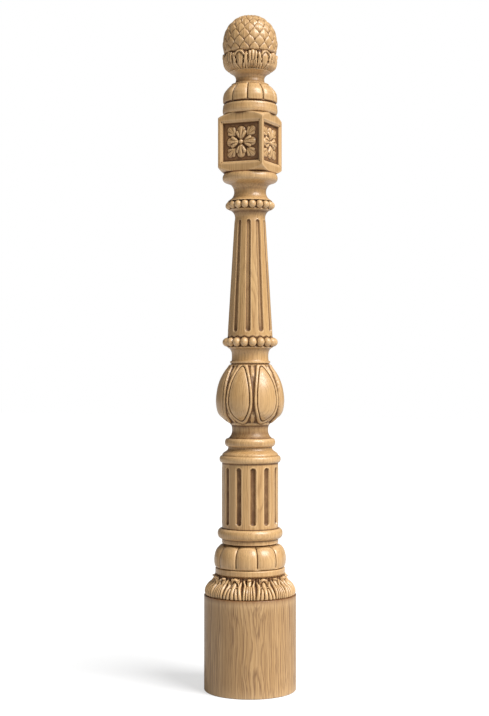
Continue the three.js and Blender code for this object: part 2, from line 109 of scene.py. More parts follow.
# Leaf collar
COLLAR_HEIGHT = 90.0
LEAF_FOOT_RADIUS = 81.5
LEAF_FLOOR_DEPTH = 2.7
LEAF_BAND_HEIGHT = 37.0
LEAF_PAIRS = 8
COLLAR_RING_RADIUS = 62.0
COLLAR_RING_HEIGHT = 11.0
CUSHION_LOBES = 10
LOWER_CUSHION_RADIUS = 64.4
LOWER_CUSHION_VALLEY = 4.4

# Lower shaft
DRUM_RADIUS = 50.0
DRUM_FOOT = 27.5
DRUM_HEIGHT = 117.0
DRUM_FLUTES = 12
DRUM_FLUTE_MARGIN = 7.5
DRUM_FLUTE_WIDTH = 10.5
DRUM_FLUTE_DEPTH = 4.4
EGG_FOOT = 208.5
EGG_TOP = 319.5
EGG_RADIUS = 60.2
EGG_OVALS = 7
EGG_TURN = math.radians(3.8)
EGG_OVAL_MIDDLE = 46.5
EGG_OVAL_DOWN = 36.0
EGG_OVAL_UP = 61.0
EGG_OVAL_HALF_ANGLE = math.radians(19.2)

# Upper shaft
TAPER_HEIGHT = 212.0
TAPER_FOOT_RADIUS = 40.0
TAPER_TOP_RADIUS = 27.4
TAPER_FLUTES = 10
TAPER_FLUTE_MARGINS = (9.0, 4.0)
TAPER_FLUTE_WIDTHS = (9.8, 7.8)
TAPER_FLUTE_DEPTH = 3.6
BEADS = 18
LOW_BEADS_FOOT = 30.0
LOW_BEADS_HEIGHT = 18.0
HIGH_BEADS_HEIGHT = 15.5

# Rows of the fluted lengths: their spacing, and a closer one that reaches round the flutes' ends
PLAIN_SPACING = 6.0
FLUTE_END_SPACING = 0.9
FLUTE_END_REACH = 6.0

# Rosette block
BLOCK_SIDE = 87.0
BLOCK_HEIGHT = 104.0
BLOCK_SHOULDER = 9.5
PANEL_MARGIN_SIDE = 5.0
PANEL_MARGIN_END = 14.4
PANEL_RIM = 3.2
PANEL_RIM_DEPTH = 2.2
PANEL_DEPTH = 6.2
CORNER_BEVEL = 1.3
SHOULDER_START = 2.6
SHOULDER_SWING = 1.2
ROSETTE_BALL_RADIUS = 4.1

# Finial
UPPER_CUSHION_RADIUS = 48.4
UPPER_CUSHION_VALLEY = 3.6
CALYX_FOOT = 49.5
CALYX_TOP = 88.0
CALYX_PAIRS = 6
CALYX_FLOOR_DEPTH = 1.8
CONE_TOP = 156.5
CONE_SCALES = 16
CONE_PITCH = 12.6
CONE_RELIEF = 2.5
SCALE_ROW_HEIGHT = 113.5


def foot_of(node):
    """Height of a CAD node's underside in millimetres."""
    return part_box(node)[0].z / MM


def smoothstep(low, high, value):
    """0 below low, 1 above high, and a smooth S between them."""
    share = np.clip((value - low) / (high - low), 0.0, 1.0)
    return share * share * (3.0 - 2.0 * share)


def dome(value):
    """Height of a half circle over -1 to 1, and 0 outside it."""
    return np.sqrt(np.clip(1.0 - value * value, 0.0, None))


def wrapped(angle, period):
    """An angle brought to within half a period of 0."""
    return (angle + period / 2.0) % period - period / 2.0


class Outline:
    """A turner's outline in millimetres, drawn upwards from a radius and a height."""

    def __init__(self, radius, height):
        self.points = [(radius, height)]

    @property
    def top(self):
        """The radius and height reached so far."""
        return self.points[-1]

    def line(self, radius, rise):
        """A straight run to a radius."""
        self.points.append((radius, self.top[1] + rise))
        return self

    def sideways(self, radius, rise, steps=7):
        """A quarter of an ellipse that sets off sideways and arrives upright."""
        start_radius, start_height = self.top
        for turn in np.linspace(0.0, math.pi / 2.0, steps + 1)[1:]:
            across = start_radius + (radius - start_radius) * math.sin(turn)
            self.points.append((across, start_height + rise * (1.0 - math.cos(turn))))
        return self

    def upright(self, radius, rise, steps=7):
        """A quarter of an ellipse that sets off upright and arrives sideways."""
        start_radius, start_height = self.top
        for turn in np.linspace(0.0, math.pi / 2.0, steps + 1)[1:]:
            across = start_radius + (radius - start_radius) * (1.0 - math.cos(turn))
            self.points.append((across, start_height + rise * math.sin(turn)))
        return self

    def torus(self, widest, radius, rise):
        """A half round that swells to a radius and comes back to another."""
        return self.sideways(widest, rise / 2.0).upright(radius, rise / 2.0)

    def through(self, places, spacing=1.3):
        """A smooth curve on through places given as radius and height, by a Catmull-Rom spline."""
        knots = np.array([self.top, *places], float)
        ends = np.vstack([2 * knots[0] - knots[1], knots, 2 * knots[-1] - knots[-2]])
        for index in range(len(knots) - 1):
            before, start, end, after = ends[index:index + 4]
            steps = max(2, math.ceil(np.linalg.norm(end - start) / spacing))
            share = np.linspace(0.0, 1.0, steps + 1)[1:, None]
            curve = 0.5 * (
                2 * start
                + (end - before) * share
                + (2 * before - 5 * start + 4 * end - after) * share**2
                + (3 * start - before - 3 * end + after) * share**3
            )
            self.points.extend(map(tuple, curve))
        return self

    def rows(self, spacing, soften=0.7):
        """The outline with its corners rounded by an arc about `soften` long each way, as points no
        further apart than `spacing`."""
        kept = [np.array(self.points[0])]
        for point in self.points[1:]:
            if np.linalg.norm(np.array(point) - kept[-1]) > 1e-6:
                kept.append(np.array(point))
        rounded = [kept[0]]
        for before, corner, after in zip(kept, kept[1:], kept[2:]):
            back = before - corner
            ahead = after - corner
            back_length = np.linalg.norm(back)
            ahead_length = np.linalg.norm(ahead)
            bend = np.dot(back, ahead) / (back_length * ahead_length)
            if bend < SLIGHT_BEND:
                rounded.append(corner)
                continue
            reach = min(soften, back_length * CORNER_SHARE, ahead_length * CORNER_SHARE)
            start = corner + back / back_length * reach
            end = corner + ahead / ahead_length * reach
            for share in (0.0, 0.5, 1.0):
                rest = 1 - share
                rounded.append(rest**2 * start + 2 * share * rest * corner + share**2 * end)
        rounded.append(kept[-1])
        made = [rounded[0]]
        for start, end in zip(rounded, rounded[1:]):
            pieces = max(1, math.ceil(np.linalg.norm(end - start) / spacing))
            for step in range(1, pieces + 1):
                made.append(start + (end - start) * step / pieces)
        return np.array(made)


def angles_round(columns):
    """The columns' angles, measured from the middle of the front face."""
    return np.linspace(0.0, 2.0 * math.pi, columns, endpoint=False)


def relief_rows(rows, relief, painted_shade=0.0, fine=1.0, broad=1.0):
    """Radii and heights of outline rows that are pushed out along the outline's own normal by a relief given
    for every row and column. The last three say how much painted shade darkens the wood, and how much of its
    fine and broad hollows get painted hollow shade."""
    slope = np.gradient(rows, axis=0)
    length = np.linalg.norm(slope, axis=1, keepdims=True)
    outward = np.stack([slope[:, 1], -slope[:, 0]], axis=1) / np.maximum(length, 1e-9)
    radius = rows[:, :1] + outward[:, :1] * relief
    height = rows[:, 1:] + outward[:, 1:] * relief
    return radius, height, *(np.broadcast_to(field, radius.shape) for field in (painted_shade, fine, broad))


def plain_rows(outline, columns, spacing=1.6, soften=0.7):
    """A turned stretch without carving."""
    rows = outline.rows(spacing, soften)
    return relief_rows(rows, np.zeros((len(rows), columns)), fine=PLAIN_SHADE, broad=0.0)


def blurred(field, reach):
    """Mean over a box of cells each way, twice, round the columns and along the rows."""
    for _ in range(2):
        wide = np.concatenate([field[:, -reach:], field, field[:, :reach]], axis=1)
        total = np.cumsum(np.concatenate([np.zeros_like(wide[:, :1]), wide], axis=1), axis=1)
        field = (total[:, 2 * reach + 1:] - total[:, :-2 * reach - 1]) / (2 * reach + 1)
        tall = np.concatenate([field[:1]] * reach + [field] + [field[-1:]] * reach)
        total = np.cumsum(np.concatenate([np.zeros_like(tall[:1]), tall]), axis=0)
        field = (total[2 * reach + 1:] - total[:-2 * reach - 1]) / (2 * reach + 1)
    return field


def hollows(places):
    """How far each point lies below the mean of the points around it, in millimetres, at a fine and
    a broad scale. Ridges come out below zero."""
    smooth = blurred(places, BROAD_REACH)
    along = np.roll(smooth, -1, axis=1) - np.roll(smooth, 1, axis=1)
    upward = np.gradient(smooth, axis=0)
    normal = np.cross(along, upward)
    normal /= np.maximum(np.linalg.norm(normal, axis=2, keepdims=True), 1e-9)
    fine = np.sum((blurred(places, FINE_REACH) - places) * normal, axis=2)
    broad = np.sum((smooth - places) * normal, axis=2)
    return fine, broad


def closed_piece(name, stretches, body, node, material, sharp=48.0):
    """One closed mesh from stretches of rows that follow each other upwards. The first and the last
    row are closed with a fan to the axis."""
    radius, height, *finish = (np.concatenate(fields) for fields in zip(*stretches))
    columns = radius.shape[1]
    turn = angles_round(columns)[None, :] + FRONT
    places = np.stack([radius * np.cos(turn), radius * np.sin(turn), height], axis=2)
    return mesh_from_places(name, places, finish, body, node, material, sharp)


def mesh_from_places(name, places, finish, body, node, material, sharp):
    """Puts a grid of places, rows by columns, into a closed mesh that stands for a CAD node. Its finish is
    the painted shade and the shares of the fine and broad hollows that get painted hollow shade. Near each
    piece's ends the painted shade is raised, for the shade in the joint."""
    rows, columns = places.shape[:2]
    painted_shade, fine_share, broad_share = finish
    height = places[:, :, 2]
    edge = np.minimum(height - height.min(), height.max() - height)
    above_floor = height > 2.0
    below_tip = height < cad_box[1].z / MM - 5.0
    # Painted shade at each end of a piece, for the shade in the joint between two lengths
    at_joint = smoothstep(JOINT_SHADE_END, JOINT_SHADE_FULL, edge) * above_floor * below_tip
    painted_shade = np.maximum(painted_shade, JOINT_SHADE * at_joint)
    fine, broad = hollows(places)
    fine = fine * fine_share
    broad = broad * broad_share
    low = [0.0, 0.0, places[0, :, 2].mean()]
    high = [0.0, 0.0, places[-1, :, 2].mean()]
    vertices = np.concatenate([places.reshape(-1, 3), [low, high]]) * MM
    row = np.arange(rows - 1)[:, None] * columns
    column = np.arange(columns)[None, :]
    following = (column + 1) % columns
    quads = np.stack(
        [row + column, row + following, row + following + columns, row + column + columns], axis=2
    ).reshape(-1, 4)
    around = np.arange(columns)
    after = (around + 1) % columns
    last = (rows - 1) * columns
    bottom = np.stack([np.full(columns, rows * columns), after, around], axis=1)
    top = np.stack([np.full(columns, rows * columns + 1), last + around, last + after], axis=1)
    corners = np.concatenate([quads.ravel(), bottom.ravel(), top.ravel()])
    sides = np.concatenate([np.full(len(quads), 4), np.full(2 * columns, 3)])
    starts = np.concatenate([[0], np.cumsum(sides)[:-1]])
    mesh = bpy.data.meshes.new(name)
    mesh.vertices.add(len(vertices))
    mesh.vertices.foreach_set("co", vertices.ravel())
    mesh.loops.add(len(corners))
    mesh.loops.foreach_set("vertex_index", corners.astype(np.int32))
    mesh.polygons.add(len(sides))
    mesh.polygons.foreach_set("loop_start", starts.astype(np.int32))
    mesh.update(calc_edges=True)
    mesh.validate()
    for label, field in (("hollow_fine", fine), ("hollow_broad", broad), ("painted_shade", painted_shade)):
        layer = mesh.attributes.new(label, "FLOAT", "POINT")
        layer.data.foreach_set("value", np.append(field.ravel(), [0.0, 0.0]).astype(np.float32))
    mesh.shade_smooth()
    mesh.set_sharp_from_angle(angle=math.radians(sharp))
    mesh.materials.append(material)
    piece = bpy.data.objects.new(name, mesh)
    bpy.context.scene.collection.objects.link(piece)
    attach(piece, body)
    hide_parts(node)
    return piece


# Carving

def lobes(angle, rows, count, depth, turn=0.0, low_fade=0.16, high_fade=0.1):
    """Upright lobes: each is nearly flat over its middle and falls to a sharp valley at its sides.
    The valleys fade out at the foot and the top of the rows."""
    period = 2.0 * math.pi / count
    across = np.abs(wrapped(angle - turn, period)) / (period / 2.0)
    share = np.linspace(0.0, 1.0, len(rows))[:, None]
    left_at_top = 0.35
    top_fade = left_at_top + (1.0 - left_at_top) * smoothstep(0.0, high_fade, 1.0 - share)
    round_side = 1.0 - np.sqrt(1.0 - np.power(across, 2.6))
    from_valley = (1.0 - across) * period / 2.0 * rows[:, :1]
    line_depth = 1.1
    line_width = 0.9
    line = line_depth * np.exp(-((from_valley / line_width) ** 2))
    return -(depth * round_side + line) * smoothstep(0.0, low_fade, share) * top_fade


def flutes(angle, rows, count, turn, low, high, widths, depth):
    """Round-bottomed flutes with round ends, cut between two heights, with a width for each. The
    depth at a place is about that of a half ellipse over its distance from the middle line."""
    width_low, width_high = widths
    radius = rows[:, :1]
    height = rows[:, 1:]
    share = np.clip((height - low) / (high - low), 0.0, 1.0)
    half = (width_low + (width_high - width_low) * share) / 2.0
    across = wrapped(angle - turn, 2.0 * math.pi / count) * radius
    beyond = np.maximum(low + width_low / 2.0 - height, height - (high - width_high / 2.0))
    distance = np.hypot(across, np.maximum(beyond, 0.0)) / half
    cut = np.power(np.clip(1.0 - distance**2, 0.0, None), 0.42)
    lip = 0.25 * np.exp(-(((distance - 1.12) * half) / 0.5) ** 2) * (distance > 1.0)
    return -depth * cut + lip


def bead_stretch(angle, foot, height, core, reach):
    """A ring of beads: at every place the larger of the core's radius and the bead's own ball."""
    middle = foot + height / 2.0
    level = np.linspace(-1.0, 1.0, 21)
    heights = middle + level * height / 2.0
    ball_rise = height * 0.46
    ring = core + 1.0
    out = reach - ring
    sunk = 1.2
    pitch = 2.0 * math.pi / BEADS
    half_angle = math.sin(pitch / 2.0) * 1.02
    across = wrapped(angle[None, :] - pitch / 2.0, pitch) / half_angle
    up = ((heights - middle) / ball_rise)[:, None]
    ball = np.sqrt(np.clip(1.0 - across**2 - up**2, 0.0, None))
    base = core - 1.2 * dome(level)[:, None]
    radius = np.where(ball > 0.0, np.maximum(base, ring - sunk + (out + sunk) * ball), base)
    full = np.ones_like(radius)
    return radius, np.repeat(heights[:, None], len(angle), axis=1), 0.0 * full, full, 0.8 * full


def egg_relief(angle, rows, foot, top):
    """Long ovals. The distance of a place from an oval's outline decides what it belongs to: the
    bulge inside, the groove on the line, the raised rim outside and the valley beyond it."""
    radius = rows[:, :1]
    height = rows[:, 1:]
    sector = 2.0 * math.pi / EGG_OVALS
    offset = wrapped(angle - EGG_TURN, sector)
    widest = foot + EGG_OVAL_MIDDLE
    reach = np.where(height < widest, EGG_OVAL_DOWN, EGG_OVAL_UP)
    across = offset / EGG_OVAL_HALF_ANGLE
    along = (height - widest) / reach
    ratio = np.sqrt(across**2 + along**2) + 1e-6
    pull = np.sqrt((across / (EGG_OVAL_HALF_ANGLE * radius)) ** 2 + (along / reach) ** 2) + 1e-6
    distance = (ratio - 1.0) * ratio / pull
    groove = -2.2 * np.exp(-((distance / 0.8) ** 2))
    rim = 0.9 * dome((distance - 2.7) / 2.3)
    valley = -3.2 * smoothstep(4.2, 5.8, distance)
    middle = np.abs(wrapped(angle - EGG_TURN - sector / 2.0, sector)) * radius
    far = smoothstep(1.5, 4.5, 20.0 * np.abs(along) - 12.0)
    filler = 2.2 * smoothstep(5.2, 6.6, distance) * np.exp(-((middle / 3.0) ** 2)) * far
    crease = -0.8 * np.exp(-((middle / 0.7) ** 2)) * smoothstep(6.0, 8.0, distance)
    swell = 0.7 * np.clip(-distance / 8.0, 0.0, 1.0)
    fade = smoothstep(foot + 4.0, foot + 7.5, height) * smoothstep(0.2, 3.0, top - height)
    return (groove + rim + valley + filler + crease + swell) * fade


def lobe(across, up, start, end, widths, height):
    """A rounded lobe along a line from start to end: half an ellipse in section, whose half width
    runs from the first of two widths to the second."""
    step_across = end[0] - start[0]
    step_up = end[1] - start[1]
    run = step_across**2 + step_up**2
    share = np.clip(((across - start[0]) * step_across + (up - start[1]) * step_up) / run, 0.0, 1.0)
    gap = np.hypot(across - start[0] - share * step_across, up - start[1] - share * step_up)
    width = widths[0] + (widths[1] - widths[0]) * share
    swell = 0.7 + 0.3 * np.sin(math.pi * (0.2 + 0.7 * share))
    return height * dome(gap / width) * swell


def leaf_relief(angle, up, pairs, half_period, lobes_in, slots, hood, floor_depth):
    """Hooded leaves with fan leaves between them. `across` is the way round in millimetres from the
    nearest hooded leaf's middle, so that `half_period` is a fan leaf's middle. The leaves' lobes
    stand on a sunk floor, the hood's lip is an arch over a hollow, and slots part the leaves."""
    period = 2.0 * math.pi / pairs
    across = np.abs(wrapped(angle, period)) / (period / 2.0) * half_period
    up = up[:, None]
    across = np.broadcast_to(across[None, :], (up.shape[0], across.shape[0]))
    relief = np.full(across.shape, -floor_depth)
    for start, end, widths, height in lobes_in:
        raised = lobe(across, up, start, end, widths, height + floor_depth)
        relief = np.maximum(relief, raised - floor_depth)
    half_width, springing, rise, thickness, reach = hood
    along = (up - springing) / np.where(up > springing, rise, rise * 1.5)
    ratio = np.hypot(across / half_width, along)
    under_arch = (ratio < 1.0) & (up > springing - 1.0)
    lip = reach * dome((ratio - 1.0) * half_width / thickness) * smoothstep(-0.4, 0.5, along)
    relief = np.where(under_arch, relief - 0.5 * smoothstep(0.0, 0.5, along), relief)
    relief = np.where(lip > 0.0, np.maximum(relief, lip), relief)
    for start, end, widths, depth in slots:
        relief = relief - lobe(across, up, start, end, widths, depth)
    # Painted shade on the sunk floor, darker the deeper it lies
    painted_shade = 0.9 * smoothstep(-0.1 * floor_depth, -0.85 * floor_depth, relief)
    return relief, np.clip(painted_shade, 0.0, 0.9)


# Lobes of the base's leaves: start, end, half widths and height, in millimetres across and up. Slots
# have a depth in place of the height. A hood is its arch's half width, the height that it springs
# from, its rise, its thickness and how far it stands out.
BAND_HALF_PERIOD = 29.5
BAND_LOBES = [
    ((0.0, 2.0), (0.0, 19.5), (4.6, 4.0), 3.6),
    ((8.2, 0.0), (5.6, 16.5), (4.1, 3.0), 3.4),
    ((14.8, 0.0), (10.6, 22.5), (3.7, 3.4), 3.1),
    ((10.8, 22.0), (13.4, 28.5), (3.2, 1.7), 2.4),
    ((20.4, 0.0), (21.8, 24.0), (2.4, 3.1), 2.9),
    ((21.8, 23.5), (18.4, 31.0), (2.8, 1.6), 2.4),
    ((25.2, 0.0), (26.0, 21.0), (2.2, 2.3), 2.9),
    ((29.5, 0.0), (29.5, 21.0), (2.0, 2.6), 3.1),
    ((29.5, 23.0), (29.5, 30.5), (4.0, 5.4), 1.7),
    ((29.5, 32.7), (27.2, 32.9), (2.5, 2.1), 4.6),
    ((7.9, 29.5), (7.7, 34.0), (1.9, 1.0), 2.4),
    ((0.0, 19.0), (0.0, 31.0), (4.8, 4.4), 2.2),
]
BAND_SLOTS = [
    ((6.4, 23.0), (6.6, 30.5), (1.5, 1.3), 3.2),
    ((3.6, 8.0), (4.0, 11.0), (1.0, 0.9), 2.0),
    ((9.8, 10.0), (9.0, 12.5), (0.9, 0.8), 1.8),
    ((23.8, 24.5), (23.6, 31.0), (0.7, 1.5), 2.4),
    ((16.0, 25.0), (15.8, 33.5), (0.8, 2.2), 2.6),
]
BAND_HOOD = (7.2, 25.0, 8.2, 2.3, 5.0)

# Lobes, slots and hood of the finial's leaf cup, in the same form
CUP_HALF_PERIOD = 24.6
CUP_LOBES = [
    ((0.0, 3.0), (0.0, 31.0), (5.0, 8.4), 2.2),
    ((0.0, 6.0), (0.0, 29.0), (1.6, 3.4), 3.1),
    ((5.4, 0.5), (11.4, 20.0), (3.2, 4.4), 2.5),
    ((12.6, 0.0), (12.8, 16.0), (3.4, 3.2), 2.1),
    ((17.4, 0.0), (16.4, 12.0), (1.6, 2.0), 1.9),
    ((8.8, 14.0), (13.0, 28.5), (3.0, 3.6), 2.6),
    ((24.6, 0.0), (24.6, 17.0), (0.9, 1.6), 2.1),
    ((22.6, 0.0), (21.4, 17.0), (0.9, 1.7), 2.1),
    ((20.4, 0.0), (17.8, 19.0), (1.1, 2.2), 2.3),
    ((24.6, 20.0), (24.6, 31.5), (3.8, 4.4), 2.5),
    ((19.6, 18.0), (18.8, 31.0), (2.4, 3.2), 2.7),
]
CUP_SLOTS = [
    ((7.2, 14.0), (7.4, 17.0), (1.5, 1.5), 3.2),
    ((8.0, 22.0), (8.2, 25.5), (1.5, 1.2), 3.2),
    ((15.6, 12.0), (15.4, 26.0), (0.6, 1.0), 2.2),
    ((15.4, 29.0), (15.2, 37.0), (1.0, 2.4), 3.0),
]
CUP_HOOD = (8.6, 24.5, 8.8, 1.8, 3.2)


def pine_relief(angle, arc, first_row, relief):
    """Overlapping pine scales. Each scale is a pointed arch that covers the foot of the two above it,
    deepest at its own foot and highest just under its tip. `arc` is the way up the dome."""
    pitch_angle = 2.0 * math.pi / CONE_SCALES
    level = (arc[:, None] - first_row) / CONE_PITCH
    turn = angle[None, :] / pitch_angle

    def arch(row):
        place = (turn - 0.5 * (row % 2.0)) % 1.0
        return place, np.power(2.0 * np.minimum(place, 1.0 - place), 0.55)

    lower = np.floor(level)
    _, top_low = arch(lower)
    in_lower = level - lower < top_low
    row = np.where(in_lower, lower, lower + 1.0)
    place, top = arch(row)
    _, under = arch(row - 1.0)
    foot_level = row - 1.0 + under
    share = np.clip((level - foot_level) / np.maximum(row + top - foot_level, 1e-3), 0.0, 1.0)
    side = np.abs(2.0 * place - 1.0)
    rise = 0.35 + 0.65 * np.sin(np.clip(share / 0.7, 0.0, 1.0) * math.pi / 2.0)
    edge = dome(np.clip((share - 0.6) / 0.42, 0.0, 1.0))
    rib = 0.1 * np.exp(-((side / 0.12) ** 2))
    pit = np.exp(-(side**2 / 0.03)) * np.exp(-((share / 0.2) ** 2))
    blade = rise * (0.3 + 0.7 * edge) * (1.0 - 0.25 * side**2)
    carving = relief * (blade + rib * edge - 0.5 * pit - 0.7)
    # The pits' depth also gives their painted shade
    return carving, 0.9 * pit


def leaflet(x, y, middle, sides, height):
    """A three-lobed leaf that points along +y: a flat blade, two side lobes that stop short of the
    middle one's tip, and a sunk vein along the middle."""
    away = np.abs(x)
    tongue = lobe(away, y, *middle, height)
    wing = lobe(away, y, *sides, height * 0.94)
    start, end, widths = middle
    blade_end = (end[0], end[1] - 3.0)
    blade = lobe(away, y, start, blade_end, (widths[0] * 1.6, widths[1] * 1.9), height * 0.72)
    vein = 0.7 * np.exp(-((x / 0.8) ** 2)) * smoothstep(0.5, 2.0, tongue)
    return np.maximum(np.maximum(tongue - vein, wing), blade)


def rosette(x, y):
    """The carving in one sunk panel: four petals on the axes over four smaller leaves on the
    diagonals, with a ball in the middle."""
    petal = (((0.0, 8.0), (0.0, 23.2), (2.6, 4.2)), ((3.6, 9.4), (6.9, 16.4), (2.6, 3.8)), 5.2)
    corner = (((0.0, 19.0), (0.0, 32.6), (2.2, 3.6)), ((2.8, 20.0), (6.2, 26.8), (2.2, 3.2)), 2.6)
    height = np.zeros_like(x)
    for quarter in range(4):
        for turn, shape in ((0.0, petal), (0.5, corner)):
            angle = (quarter + turn) * math.pi / 2.0
            along_x = x * math.cos(angle) + y * math.sin(angle)
            along_y = -x * math.sin(angle) + y * math.cos(angle)
            height = np.maximum(height, leaflet(along_x, along_y, *shape))
    away = np.hypot(x, y)
    ball = 4.6 * dome(away / ROSETTE_BALL_RADIUS) + 1.4
    return np.where(away < ROSETTE_BALL_RADIUS, ball, height)


# Pieces

def base_drum(material):
    """The plain round drum, with a worn edge at its foot and a smaller one at its top."""
    foot = foot_of("base_drum")
    outline = Outline(BASE_RADIUS - BASE_FOOT_EDGE, foot).line(BASE_RADIUS, BASE_FOOT_EDGE)
    outline.line(BASE_RADIUS, BASE_HEIGHT - BASE_FOOT_EDGE - BASE_TOP_EDGE)
    outline.line(BASE_RADIUS - BASE_TOP_INSET, BASE_TOP_EDGE)
    stretch = plain_rows(outline, BASE_COLUMNS, 8.0, 0.5)
    return closed_piece("turned_base_drum", [stretch], "root", "base_drum", material)


def leaf_collar(material):
    """The band of hooded leaves, the fillet above it and the lobed cushion."""
    foot = foot_of("leaf_collar")
    angle = angles_round(COLLAR_COLUMNS)
    span = LEAF_BAND_HEIGHT
    body = Outline(LEAF_FOOT_RADIUS - JOINT_DEPTH - 1.5, foot)
    body.line(77.6, 1.0).through([
        (78.1, foot + 4.5),
        (77.4, foot + 9.0),
        (75.6, foot + 13.5),
        (72.8, foot + 18.0),
        (68.6, foot + 22.0),
        (65.2, foot + 26.0),
        (63.4, foot + 30.0),
        (62.6, foot + span),
    ])
    rows = body.rows(0.7, 0.0)
    up = rows[:, 1] - foot
    carving, painted_shade = leaf_relief(
        angle, up, LEAF_PAIRS, BAND_HALF_PERIOD, BAND_LOBES, BAND_SLOTS, BAND_HOOD, LEAF_FLOOR_DEPTH
    )
    fade = smoothstep(-0.5, 1.6, up) * smoothstep(-0.5, 1.0, span - up)
    leaves = relief_rows(rows, np.clip(carving, -5.5, None) * fade[:, None], painted_shade)
    ring = Outline(COLLAR_RING_RADIUS - 2.0, foot + span).line(COLLAR_RING_RADIUS - 1.5, 0.3)
    ring.upright(COLLAR_RING_RADIUS, 1.6, 4).line(COLLAR_RING_RADIUS, COLLAR_RING_HEIGHT - 3.6)
    ring.upright(COLLAR_RING_RADIUS - 1.8, 1.7, 4).line(COLLAR_RING_RADIUS - 3.4, 0.6)
    ring.line(COLLAR_RING_RADIUS - 2.6, 1.2)
    ring_rows = plain_rows(ring, COLLAR_COLUMNS, 1.5, 0.5)
    cushion = Outline(COLLAR_RING_RADIUS - 0.9, ring.top[1]).sideways(LOWER_CUSHION_RADIUS, 12.5, 9)
    left = foot + COLLAR_HEIGHT - cushion.top[1]
    cushion.upright(50.0, left - 2.0, 18).line(46.5, 1.4).line(45.8, 0.6)
    lobed = cushion.rows(1.5, 0.4)
    lobed_cut = lobes(angle, lobed, CUSHION_LOBES, LOWER_CUSHION_VALLEY, math.pi / CUSHION_LOBES)
    lobed_rows = relief_rows(lobed, lobed_cut, broad=0.5)
    return closed_piece(
        "carved_leaf_collar", [leaves, ring_rows, lobed_rows], "root", "leaf_collar", material
    )


def lower_shaft(material):
    """The foot ring, the fluted drum, the rings over it, the neck and the egg."""
    foot = foot_of("lower_shaft")
    angle = angles_round(SHAFT_COLUMNS)
    base = Outline(50.0 - JOINT_DEPTH, foot).line(50.3, JOINT_RISE).line(50.3, 8.0)
    base.line(51.0, 0.0).torus(58.0, 52.0, 18.0).line(DRUM_RADIUS, 0.2)
    drum_foot = base.top[1]
    drum_top = foot + DRUM_FOOT + DRUM_HEIGHT
    drum = Outline(DRUM_RADIUS, drum_foot).line(DRUM_RADIUS, drum_top - drum_foot)
    low = drum_foot + DRUM_FLUTE_MARGIN
    high = drum_top - DRUM_FLUTE_MARGIN
    drum_rows = dense_ends(drum.rows(PLAIN_SPACING), (low, high))
    drum_widths = (DRUM_FLUTE_WIDTH, DRUM_FLUTE_WIDTH)
    drum_cut = flutes(angle, drum_rows, DRUM_FLUTES, 0.0, low, high, drum_widths, DRUM_FLUTE_DEPTH)
    steps = Outline(DRUM_RADIUS + 0.4, drum_top).torus(54.6, 51.0, 12.0).line(DRUM_RADIUS, 0.2)
    steps.line(DRUM_RADIUS - 0.2, 1.3).through([
        (49.6, foot + 159.0),
        (48.2, foot + 161.0),
        (45.6, foot + 163.0),
        (42.6, foot + 165.0),
        (40.3, foot + 167.0),
        (39.2, foot + 169.5),
        (39.1, foot + 171.6),
    ]).line(39.4, 0.9).torus(45.0, 39.8, 15.0)
    neck_foot = steps.top[1]
    egg_foot = foot + EGG_FOOT
    egg_top = foot + EGG_TOP
    egg = Outline(38.8, neck_foot).through([
        (35.6, neck_foot + 3.5),
        (33.0, neck_foot + 8.5),
        (32.2, neck_foot + 14.0),
        (32.9, egg_foot),
        (35.4, egg_foot + 4.0),
        (46.5, egg_foot + 13.5),
        (54.6, egg_foot + 21.5),
        (58.6, egg_foot + 31.0),
        (EGG_RADIUS, egg_foot + 44.0),
        (59.4, egg_foot + 57.0),
        (56.9, egg_foot + 71.0),
        (52.6, egg_foot + 83.5),
        (46.0, egg_foot + 96.0),
        (40.3, egg_foot + 104.0),
        (36.6, egg_top - 1.0),
    ])
    egg.line(33.5, 1.0)
    egg_rows = egg.rows(1.4, 0.3)
    carving = egg_relief(angle[None, :], egg_rows, egg_foot, egg_top)
    stretches = [
        plain_rows(base, SHAFT_COLUMNS),
        relief_rows(drum_rows, drum_cut, broad=0.3),
        plain_rows(steps, SHAFT_COLUMNS),
        relief_rows(egg_rows, carving, broad=0.7),
    ]
    return closed_piece("turned_lower_shaft", stretches, "root", "lower_shaft", material)


def dense_ends(rows, ends):
    """Rows with closer ones added near two heights, for the round ends of flutes."""
    extra = [np.arange(end - FLUTE_END_REACH, end + FLUTE_END_REACH, FLUTE_END_SPACING) for end in ends]
    heights = np.unique(np.round(np.concatenate([rows[:, 1], *extra]), 3))
    heights = heights[(heights >= rows[0, 1]) & (heights <= rows[-1, 1])]
    return np.stack([np.interp(heights, rows[:, 1], rows[:, 0]), heights], axis=1)


